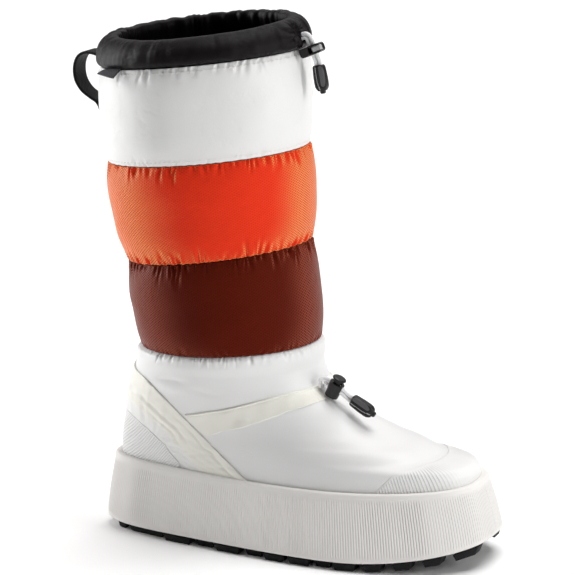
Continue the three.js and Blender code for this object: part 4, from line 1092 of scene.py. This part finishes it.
def makeFootShell():
    columns, rows = footShell["columns"], footShell["rows"]
    low, high = footShell["low"], ankleSeam["height"] - layers["gap"]
    angles, girth = evenAngles(90, columns)
    arc = np.arange(columns) / columns * girth
    up = np.linspace(0, 1, rows) ** 0.85 * (high - low)
    levels = low + up
    swell = curveThrough(*zip(*footShell["swell"]))
    out = swell(up / (high - low))[:, None] * np.ones((1, columns))
    count, depth, length = footShell["gathers"]
    out += gatherFolds(arc, girth, high - levels, footShell["seed"], count, (0.8, 2.0), length, depth)

    shellHeight = ankleSeam["height"] - sole["heelTop"]
    arcAt = arcFinder(angles, arc, girth)
    out += softFolds(arcAt, arc, girth, levels - sole["heelTop"], shellHeight, footShell["folds"])
    shell = [offsetPoint(levels[:, None], angles[None, :], out)]
    inward = [(high + 0.2, -2.6), (high, -5.6), *footShell["innerFace"], (low, footShell["innerFace"][-1][1])]
    for level, depth in inward:
        shell.append(offsetPoint(np.full((1, columns), level), angles[None, :], np.full((1, columns), depth)))
    points = np.concatenate(shell)
    u = np.linspace(0, girth, columns + 1)
    v = np.linspace(0, 100, len(points) + 1)
    mesh = gridMesh("footShell", points, loop=True, cloth=(u, v))
    addPiece("footShell", mesh, looks["footFilm"], ["upper"])


makeFootShell()
print("foot shell made")


# Overlays on the foot: a thin layer with rounded edges between two given edges
def edgeCurve(rows, angleColumn, riseColumn, mirror):
    rows = np.array(rows, float)
    a, r = rows[:, angleColumn], rows[:, riseColumn]
    if mirror is not None:
        a = np.concatenate([a[:0:-1], 2 * mirror - a])
        r = np.concatenate([r[:0:-1], r])
    return np.radians(a), riseLevel(r)


def smoothed(values, count):
    places = np.arange(len(values))
    fine = np.linspace(0, len(values) - 1, count)
    line, _ = smoothLine(np.stack([places * 1.0, values, 0 * values], -1), 800)
    return np.interp(fine, line[:, 0], line[:, 1])


# Relief adds to its height, and mark gives the cloth's three values for a place on it
def overlayMesh(name, lowEdge, highEdge, sizes, relief, mark):
    (along, across), thickness = sizes["mesh"], sizes["thickness"]
    lowAngle, lowLevel = (smoothed(values, along) for values in lowEdge)
    highAngle, highLevel = (smoothed(values, along) for values in highEdge)
    # columns stand closer toward both edges, so these turn round smoothly
    share = (0.5 - 0.5 * np.cos(np.linspace(0, math.pi, across)))[None, :]
    angle = lowAngle[:, None] * (1 - share) + highAngle[:, None] * share
    level = lowLevel[:, None] * (1 - share) + highLevel[:, None] * share
    base = offsetPoint(level, angle, np.zeros_like(level))
    runs = np.linalg.norm(np.diff(base, axis=0), axis=2).mean(axis=1)
    widths = np.linalg.norm(np.diff(base, axis=1), axis=2).sum(axis=1)[:, None]
    run = np.concatenate([[0], np.cumsum(runs)])[:, None]
    width = widths * share
    fromEdge = np.minimum(np.minimum(width, widths - width), np.minimum(run, run[-1] - run))
    rounding = np.sqrt(np.clip(1 - (1 - np.clip(fromEdge / thickness, 0, 1)) ** 2, 0, 1))
    out = 0.05 + (thickness + relief(run, width, widths, share)) * rounding
    top = offsetPoint(level, angle, out)
    bottom = offsetPoint(level, angle, np.full_like(level, 0.05))
    cloth = np.stack(np.broadcast_arrays(*mark(run, width, share, base)), axis=-1)
    # one ring of points round each cross-section: over the top and back under
    points = np.concatenate([top, bottom[:, -2:0:-1]], axis=1)
    cloth = np.concatenate([cloth, cloth[:, -2:0:-1]], axis=1)
    return gridMesh(name, points, around=True, caps=True, cloth=cloth)


heelStrap = {
    # rear angle, rear rise, front angle, front rise
    "rows": [
        (180, 0.385, 180, 0.8), (165, 0.38, 163, 0.795), (152.3, 0.371, 149.1, 0.78),
        (141.3, 0.334, 132.9, 0.753), (134.5, 0.29, 125.4, 0.717), (129.2, 0.244, 116.2, 0.625),
        (126.6, 0.216, 110.4, 0.543), (124.3, 0.184, 106.5, 0.458), (123.9, 0.14, 104.3, 0.379),
        (122.6, 0.117, 103, 0.298), (121.3, 0.094, 101.1, 0.22), (120.3, 0.077, 100, 0.181),
        (119.3, 0.061, 100.8, 0.143), (118.3, 0.042, 99.6, 0.106), (117.3, 0.022, 98.1, 0.07),
        (115.4, -0.005, 96.8, 0.033), (113.5, -0.028, 94.8, -0.021), (112, -0.05, 93.4, -0.05),
    ],
    "mesh": (280, 54), "thickness": 0.7, "marginShare": 0.27, "tapeStep": 0.3,
    # distance from the margin or the front edge, half width, height
    "stitchPitch": 2.8, "stitchLine": (1, 0.35, -0.3), "piping": (0.9, 0.4, 0.15),
    # share across, half width as a share, height, where it starts and ends from the back to the sole
    "folds": [
        (0.5, 0.05, 0.5, 0.1, 0.75), (0.58, 0.06, -0.45, 0.15, 0.8), (0.84, 0.035, -0.4, 0.5, 1.2),
        (0.38, 0.04, -0.3, 0.35, 0.8),
    ],
}
ankleStrap = {
    "mesh": (170, 44), "thickness": 0.75,
    # distance from the lower edge or from the far end, half width, height
    "edgeLines": [(0.9, 0.45, 0.25), (2.2, 0.6, -0.2)],
    "endLines": [(5, 0.5, -0.35), (9, 0.5, -0.35)],
    # low angle, low rise, high angle, high rise
    "rows": [
        (101.2, 0.29, 104.9, 0.472), (97, 0.325, 98.5, 0.5), (90, 0.377, 87.5, 0.552), (75, 0.46, 74, 0.607),
        (62, 0.52, 60, 0.652), (48, 0.571, 43, 0.688), (31, 0.602, 27, 0.702), (15, 0.624, 12, 0.708),
    ],
}
counter = {
    "mesh": (280, 32), "thickness": 0.3, "turnX": -88, "turnRadius": 36,
    "rows": [
        (180, 0.372), (165, 0.367), (152.6, 0.358), (146.1, 0.34), (141.8, 0.321), (135, 0.277),
        (129.7, 0.231), (127.1, 0.203), (124.9, 0.171), (123.9, 0.127), (121.9, 0.081), (119.9, 0.048),
        (117.9, 0.009),
    ],
}
toeCap = {
    "mesh": (280, 32), "thickness": 0.3, "turnX": 76, "turnRadius": 50,
    "rows": [
        (0, 0.18), (11, 0.18), (21, 0.178), (30, 0.171), (37.5, 0.163), (43, 0.157), (48, 0.146), (53, 0.127),
        (56.5, 0.09), (59.5, 0.03), (61.8, -0.025),
    ],
}


# A raised or sunken line at a distance from an edge
def softLine(distance, middle, half, height):
    return height * np.exp(-((distance - middle) / half) ** 2)


def crinkle(seed, run, width, scale=0.22):
    draw = np.random.default_rng(seed)
    total = 0
    for _ in range(9):
        k = draw.normal(0, 0.28, 2)
        total = total + np.sin(run * k[0] + width * k[1] + draw.uniform(0, turn))
    return total / 3 * scale


def makeStraps():
    def heelRelief(run, width, widths, share):
        fromBack = np.abs(2 * run / run[-1] - 1)
        out = heelStrap["tapeStep"] * smoothStep((share - heelStrap["marginShare"]) / 0.02)
        for middle, half, height, start, end in heelStrap["folds"]:
            shown = smoothStep((fromBack - start) / 0.15) * smoothStep((end - fromBack) / 0.15)
            out = out + softLine(share, middle, half, height) * shown
        sewn = np.sin(run * turn / heelStrap["stitchPitch"]) > -0.2
        fromMargin = width - widths * heelStrap["marginShare"]
        out = out + sewn * softLine(fromMargin, *heelStrap["stitchLine"])
        return out + softLine(widths - width, *heelStrap["piping"]) + crinkle(3, run, width)

    def heelMark(run, width, share, base):
        return width, run, 1 - smoothStep((share - heelStrap["marginShare"]) / 0.02)

    rear = edgeCurve(heelStrap["rows"], 0, 1, 180)
    front = edgeCurve(heelStrap["rows"], 2, 3, 180)
    mesh = overlayMesh("heelStrap", rear, front, heelStrap, heelRelief, heelMark)
    addPiece("heelStrap", mesh, looks["creamTape"], ["heel_strap"])
    for side, label in ((-1, "outer"), (1, "inner")):
        lowAngle, lowLevel = edgeCurve(ankleStrap["rows"], 0, 1, None)
        highAngle, highLevel = edgeCurve(ankleStrap["rows"], 2, 3, None)

        def ankleRelief(run, width, widths, share):
            lower = sum(softLine(width, *line) for line in ankleStrap["edgeLines"])
            end = sum(softLine(run[-1] - run, *line) for line in ankleStrap["endLines"])
            return lower + end + crinkle(7 + side, run, width, 0.25)

        low = (side * lowAngle, lowLevel)
        high = (side * highAngle, highLevel)
        edges = (low, high) if side > 0 else (high, low)
        name = f"ankleStrap{label.capitalize()}"
        mesh = overlayMesh(name, *edges, ankleStrap, ankleRelief, lambda run, width, *_: (width, run, 0.0))
        addPiece(name, mesh, looks["creamTape"], [f"ankle_strap_{label}"])


def makeReinforcements():
    for name, spec, middle, look, node in (
        ("heelCounter", counter, 180, "counterFilm", "heel_counter"),
        ("toeCap", toeCap, 0, "toeFilm", "toe_cap"),
    ):
        high = edgeCurve(spec["rows"], 0, 1, middle)
        lowAngle, _ = high
        low = (lowAngle, np.full(len(lowAngle), riseLevel(-0.06)))
        if middle == 180:
            edges = (low, high)
        else:
            edges = ((low[0][::-1], low[1][::-1]), (high[0][::-1], high[1][::-1]))

        def ribMark(run, width, share, base):
            # ribs are laid out round the heel or toe, from its middle toward both sides
            ahead = (base[..., 0] - spec["turnX"]) * (-1 if middle == 180 else 1)
            fromMiddle = spec["turnRadius"] * np.arctan2(np.abs(base[..., 1]), ahead)
            shown = smoothStep((1 - share) * width / np.maximum(share, 0.01) / 1.5 - 0.3)
            if middle == 0:
                shown = shown * smoothStep((fromMiddle - 8) / 26)
            # the third value says how far the ribs and their painted groove shade show
            return fromMiddle, base[..., 2] - sole["heelTop"], shown

        mesh = overlayMesh(name, *edges, spec, lambda run, width, widths, share: 0.0, ribMark)
        addPiece(name, mesh, looks[look], [node])


makeReinforcements()
makeStraps()
print("straps and reinforcements made")

# Cuff: gathered satin over the drawcord rim, and the lining down to the insole
cuff = {
    "height": 21, "columns": 600, "stations": 84, "outerStations": 46, "seed": 71,
    "broadGathers": 27, "fineGathers": 61, "knotAngle": -7, "knotRise": 13, "knotPleats": 9, "knotReach": 17,
    # degrees round from the toe, how much higher the rim stands, how strongly it is gathered
    "rim": [
        (-180, 2.4, 0.85), (-160, 1.6, 0.8), (-140, 0.6, 0.5), (-118, -0.8, 0.22), (-95, -1.8, 0.16),
        (-45, -1.5, 0.2), (-12, 0, 0.5), (30, 1.2, 0.65), (90, 3.8, 0.7), (140, 3.6, 0.75), (180, 2.4, 0.85),
    ],
    # up, out, ripple
    "rows": [
        (0, -1.6, 0.1), (0.08, 0.8, 0.35), (0.2, 1.9, 0.5), (0.42, 1.5, 0.7), (0.62, 0.0, 0.85),
        (0.8, -2.6, 1), (0.93, -5.6, 1), (1, -9, 1), (1, -12, 0.9), (0.92, -14.6, 0.8),
        (0.75, -15.2, 0.8), (0.45, -12.8, 0.6), (0.1, -9.5, 0.5), (-0.3, -7.4, 0.4), (-0.9, -6.9, 0.5),
    ],
}


def makeCuff():
    columns = cuff["columns"]
    rows = np.array(cuff["rows"], float)
    up, out, ripple = (smoothed(rows[:, k], cuff["stations"]) for k in range(3))
    angles, girth = evenAngles(collarSeam["height"], columns)
    arc = np.arange(columns) / columns * girth
    base = collarSeam["height"] + layers["gap"]
    run = np.concatenate([[0], np.cumsum(np.hypot(np.diff(up * cuff["height"]), np.diff(out)))])
    # broad gathers that wander and come and go, then finer ones between
    phase = lineNoise(cuff["seed"], arc, girth, range(2, 12), 7.0)
    broad = np.cos((arc + phase) / girth * turn * cuff["broadGathers"])
    finePhase = lineNoise(cuff["seed"] + 1, arc, girth, range(2, 16), 5.0)
    fineWave = np.cos((arc + finePhase) / girth * turn * cuff["fineGathers"])
    turned = np.degrees(np.angle(np.exp(1j * angles)))
    rimAngle, rimLift, rimGather = np.array(cuff["rim"], float).T
    rise = curveThrough(rimAngle, rimLift)(turned)
    strength = curveThrough(rimAngle, rimGather)(turned)
    strength = strength * np.clip(1 + 0.4 * lineNoise(cuff["seed"] + 2, arc, girth, range(2, 9)), 0.4, 1.6)
    waves = broad * 1.15 + fineWave * 0.4
    move = out[:, None] + ripple[:, None] * strength[None, :] * waves[None, :]
    seamGathers = gatherFolds(arc, girth, run, cuff["seed"] + 4, 120, (1.0, 2.4), (4, 12), 0.7)
    move = move + seamGathers * np.clip(strength + 0.15, 0, 1)[None, :]
    # pleats that run together where the cord comes out
    knot = math.radians(cuff["knotAngle"])
    du = np.angle(np.exp(1j * (angles - knot)))[None, :] * girth / turn
    dv = up[:, None] * cuff["height"] - cuff["knotRise"]
    away = np.hypot(du, dv)
    outerFace = (np.arange(cuff["stations"]) < cuff["outerStations"])[:, None]
    pleats = np.cos(np.arctan2(dv, du) * cuff["knotPleats"] + 0.12 * away) * 1.1
    pleats = pleats * smoothStep(away / 4) * np.exp(-((away / cuff["knotReach"]) ** 2))
    dimple = -2.2 * np.exp(-((away / 4.5) ** 2)) + 2.2 * np.exp(-(((away - 9) / 5) ** 2))
    move = move + outerFace * (pleats + dimple)
    lift = ripple[:, None] * (strength * (0.4 * broad + 0.2 * fineWave))[None, :]
    lift = lift * smoothStep((up[:, None] - 0.3) / 0.5)
    levels = base + up[:, None] * (cuff["height"] - 1.2) + lift
    points = offsetPoint(levels, angles[None, :], move)
    points[..., 2] += rise[None, :] * smoothStep(np.clip(up, 0, 1))[:, None]
    u = np.linspace(0, girth, columns + 1)
    v = np.append(run, run[-1] + 1)
    mesh = gridMesh("collarCuff", points, cloth=(u, v))
    addPiece("collarCuff", mesh, looks["cuffSatin"], ["collar_cuff"])


lining = {
    "columns": 320, "top": 345, "seed": 91,
    # height, in from the form
    "inset": [(50, 4.4), (60, 4.4), (100, 5.2), (146, 6.6), (340, 7.2), (350, 8.4)],
}


def makeLining():
    columns = lining["columns"]
    angles, girth = evenAngles(200, columns)
    arc = np.arange(columns) / columns * girth
    levels = np.concatenate([np.linspace(lining["top"], 150, 50), np.linspace(147, 52.4, 24)])
    inset = curveThrough(*zip(*lining["inset"]))
    drape = lineNoise(lining["seed"], arc, girth, range(5, 26), 1.0)
    slow = lineNoise(lining["seed"] + 1, arc, girth, range(2, 9), 1.0)
    sway = np.sin(levels / 23.0)[:, None] * slow[None, :] * 0.7 + drape[None, :] * 0.55
    fade = smoothStep((levels - 110) / 60)[:, None]
    out = -inset(levels)[:, None] - np.abs(sway) * fade
    points = offsetPoint(levels[:, None], angles[None, :], out)
    u = np.linspace(0, girth, columns + 1)
    v = np.append(lining["top"] - levels, 300)
    mesh = gridMesh("shaftLining", points, cloth=(u, v))
    addPiece("shaftLining", mesh, looks["liningSatin"], ["upper"])


insole = {"columns": 360, "bottom": 46.8, "top": 51.2, "inset": 4.9, "middle": (-10.0, 1.5), "cup": 2.2}


def makeInsole():
    columns = insole["columns"]
    angles, _ = evenAngles(sole["heelTop"], columns)
    edge = offsetPoint(sole["heelTop"], angles, np.full(columns, -insole["inset"]))
    middle = np.array(insole["middle"])
    rings = []

    def drawnIn(draw):
        ring = edge.copy()
        ring[:, :2] = middle + (edge[:, :2] - middle) * (1 - draw)
        rings.append(ring)
        return ring

    for draw in (0.2, 0):
        drawnIn(draw)[:, 2] = insole["bottom"]
    for draw in (0, 0.006, 0.02, 0.05, 0.1, 0.2, 0.35, 0.5, 0.65, 0.8, 0.92):
        ring = drawnIn(draw)
        cupped = insole["cup"] * math.exp(-((draw / 0.12) ** 2)) * smoothStep((-ring[:, 0] - 40) / 60)
        ring[:, 2] = insole["top"] + cupped - 0.8 * math.exp(-((draw / 0.006) ** 2))
    cloth = clothCoordinates(len(rings), columns, 700, 90)
    mesh = gridMesh("insoleBoard", np.array(rings), caps=True, cloth=cloth)
    addPiece("insoleBoard", mesh, looks["insoleCloth"], ["insole"])


makeCuff()
makeLining()
makeInsole()
print("cuff, lining and insole made")

# Pull loop and side tab
pullLoop = {
    "width": 18, "thickness": 2.2, "reach": 24,
    # out as a share of the reach, up from the collar seam
    "rows": [
        (0.1, 4.2), (0.34, 6.2), (0.66, 6.4), (0.88, 3.2), (1, -4), (0.97, -13.5), (0.77, -21), (0.5, -25.6),
        (0.27, -29.2),
    ],
    "tailDrops": (38, 47),
}


def makePullLoop():
    seamBack = formPoint(collarSeam["height"], math.pi)
    line = [(seamBack[0] - out * pullLoop["reach"], 0, seamBack[2] + up) for out, up in pullLoop["rows"]]
    onShaft = layers["puff"] + layers["gap"] + pullLoop["thickness"] / 2
    for drop in pullLoop["tailDrops"]:
        point = offsetPoint(collarSeam["height"] - drop, math.pi, onShaft)
        line.append((point[0], 0, point[2]))
    line, length = smoothLine(line, 110)
    tangents = np.gradient(line, axis=0)
    tangents /= np.linalg.norm(tangents, axis=1, keepdims=True)
    normals = np.stack([-tangents[:, 2], 0 * tangents[:, 0], tangents[:, 0]], -1)
    # flat section with round edges and slightly raised selvedges
    across = np.linspace(-1, 1, 25)
    half = pullLoop["thickness"] / 2
    flat = half * (1 - np.abs(across) ** 10) ** 0.5
    ridge = 0.12 * np.exp(-((np.abs(across) - 0.86) / 0.06) ** 2)
    top = np.stack([across * pullLoop["width"] / 2, flat + ridge], -1)
    bottom = np.stack([across[::-1] * pullLoop["width"] / 2, -flat - ridge], -1)
    section = np.concatenate([top, bottom[1:-1]])
    weave = 0.05 * np.sin(np.arange(len(line)) * 2.2)
    sideways = np.array((0, 1, 0))
    points = []
    for point, normal, ripple in zip(line, normals, weave):
        lift = section[:, 1] * (1 + ripple)
        points.append(point + section[:, :1] * sideways + lift[:, None] * normal)
    count = len(section)
    cloth = clothCoordinates(len(line), count, 2 * pullLoop["width"], length)
    mesh = gridMesh("pullLoop", np.array(points)[:, ::-1], caps=True, cloth=cloth)
    addPiece("pullLoop", mesh, looks["webbing"], ["pull_loop"])


sideTab = {
    "from": -133, "to": -116.5, "reach": 7.4, "droopRear": 2.4, "droopFront": 4.6, "thickness": 1.4,
    "columns": 40, "rows": 30,
}


def makeSideTab():
    columns, rows = sideTab["columns"], sideTab["rows"]
    angles = np.radians(np.linspace(sideTab["from"], sideTab["to"], columns))
    reach = np.linspace(-0.3, sideTab["reach"], rows)
    share = np.clip(reach, 0, None)[:, None] / sideTab["reach"]
    edgeOfTab = np.abs(np.linspace(-1, 1, columns))[None, :]
    droop = np.linspace(sideTab["droopRear"], sideTab["droopFront"], columns)[None, :]
    rounded = np.sqrt(np.clip(1 - edgeOfTab ** 14, 0, 1)) * np.sqrt(np.clip(1 - share ** 14, 0, 1))
    level = np.full((rows, columns), collarSeam["height"])
    faces = []
    for sign in (-1, 1):
        points = offsetPoint(level, angles[None, :], reach[:, None] * np.ones((1, columns)))
        points[..., 2] += sign * sideTab["thickness"] / 2 * rounded - droop * share ** 1.4
        points[..., 2] += 0.25 * np.sin(np.linspace(0, 5, columns))[None, :] * share
        faces.append(points)
    ring = np.concatenate([faces[1], faces[0][:, ::-1]], axis=1)
    mesh = gridMesh("sideTab", ring, caps=True, cloth=clothCoordinates(rows, 2 * columns, 40, 9))
    addPiece("sideTab", mesh, looks["tabCloth"], ["side_tab"])


makePullLoop()
makeSideTab()
print("loop and tab made")


# Stitches: short threads laid along a seam, pitch along it, below it and out from it
stitches = {
    "pitch": 3.6, "halfLength": 1.2, "sides": 6, "stations": 7, "arch": 0.35,
    # seam, below it, out, thread's half thickness
    "rows": {"collarStitches": (collarSeam, 3.4, 0.6, 0.28), "middleStitches": (middleSeam, -3.2, 0.7, 0.25)},
}


def makeStitches(name, seam, drop, out, thread):
    level, sides = seam["height"], stitches["sides"]
    count = int(evenAngles(level, 8)[1] / stitches["pitch"])
    angles, _ = evenAngles(level, count)
    middle = offsetPoint(np.full(count, level - drop), angles, np.full(count, out))
    ahead = formPoint(level, angles + 0.01) - formPoint(level, angles - 0.01)
    ahead /= np.linalg.norm(ahead, axis=1, keepdims=True)
    normal = formNormal(np.full(count, level), angles)
    rise = np.cross(normal, ahead)
    vertices, faces = [], []
    for k in range(count):
        start = len(vertices)
        for s in np.linspace(-1, 1, stitches["stations"]):
            girthHere = thread * math.sqrt(max(1 - s * s, 0.02))
            arch = -stitches["arch"] * thread * s * s
            for a in np.arange(sides) / sides * turn:
                spot = middle[k] + ahead[k] * s * stitches["halfLength"]
                spot = spot + normal[k] * (arch + math.sin(a) * girthHere)
                vertices.append(spot + rise[k] * math.cos(a) * girthHere)
        rings = [[start + r * sides + i for i in range(sides)] for r in range(stitches["stations"])]
        for low, high in zip(rings, rings[1:]):
            faces.extend((low[i], low[(i + 1) % sides], high[(i + 1) % sides], high[i]) for i in range(sides))
        faces.extend([tuple(rings[0][::-1]), tuple(rings[-1])])
    mesh = bpy.data.meshes.new(name)
    mesh.from_pydata(place(vertices).tolist(), [], faces)
    mesh.shade_smooth()
    addPiece(name, mesh, looks["paleThread"])


for name, row in stitches["rows"].items():
    makeStitches(name, *row)
print("stitches made")


# Plain pale floor and soft studio light
studio = {
    "world": 0.06, "floor": (0.96, 0.96, 0.96), "floorReach": 14,
    "sunStrength": 2.45, "sunSpread": 40, "sunTilt": (-8, 8),
    # name, position, aim, size, power, colour
    "lamps": [
        ("rightStrip", (2.0, -0.26, 0.7), (0, 0, 0.2), (0.5, 1.4), 21, (1, 1, 1)),
        ("leftRim", (-1.8, -0.02, 0.7), (0, 0, 0.2), (0.5, 1.4), 26, (1, 1, 1)),
        ("farFloor", (-0.9, 2.3, 1.5), (-0.9, 2.3, 0), (3.0, 3.0), 22, (1, 1, 1)),
    ],
}


def makeStudio():
    world = bpy.data.worlds.new("studioWorld")
    world.use_nodes = True
    world.node_tree.nodes["Background"].inputs[0].default_value = (1, 1, 1, 1)
    world.node_tree.nodes["Background"].inputs[1].default_value = studio["world"]
    scene.world = world
    reach = studio["floorReach"]
    mesh = bpy.data.meshes.new("studioFloor")
    corners = [(-reach, -reach, 0), (reach, -reach, 0), (reach, reach, 0), (-reach, reach, 0)]
    mesh.from_pydata(corners, [], [(0, 1, 2, 3)])
    floor = bpy.data.objects.new("studioFloor", mesh)
    scene.collection.objects.link(floor)
    material, tree, shader = newMaterial("floorPaint", 0.8, specular=0.2)
    tone = useGroup(tree, toneGroup, Color=(*studio["floor"], 1), Amount=0.01, Scale=4.0)["Color"]
    link(tree, tone, shader.inputs["Base Color"])
    mesh.materials.append(material)
    sun = bpy.data.lights.new("ceilingLight", "SUN")
    sun.energy = studio["sunStrength"]
    sun.angle = math.radians(studio["sunSpread"])
    ceiling = bpy.data.objects.new("ceilingLight", sun)
    ceiling.rotation_euler = (*[math.radians(tilt) for tilt in studio["sunTilt"]], 0)
    scene.collection.objects.link(ceiling)
    for name, position, aim, lampSize, watts, colour in studio["lamps"]:
        data = bpy.data.lights.new(name, "AREA")
        data.shape = "RECTANGLE"
        data.size, data.size_y = lampSize
        data.energy = watts
        data.color = colour
        lamp = bpy.data.objects.new(name, data)
        lamp.location = position
        lamp.rotation_euler = (Vector(aim) - Vector(position)).to_track_quat("-Z", "Y").to_euler()
        scene.collection.objects.link(lamp)
    scene.view_settings.view_transform = "Standard"


makeStudio()
print("studio made")
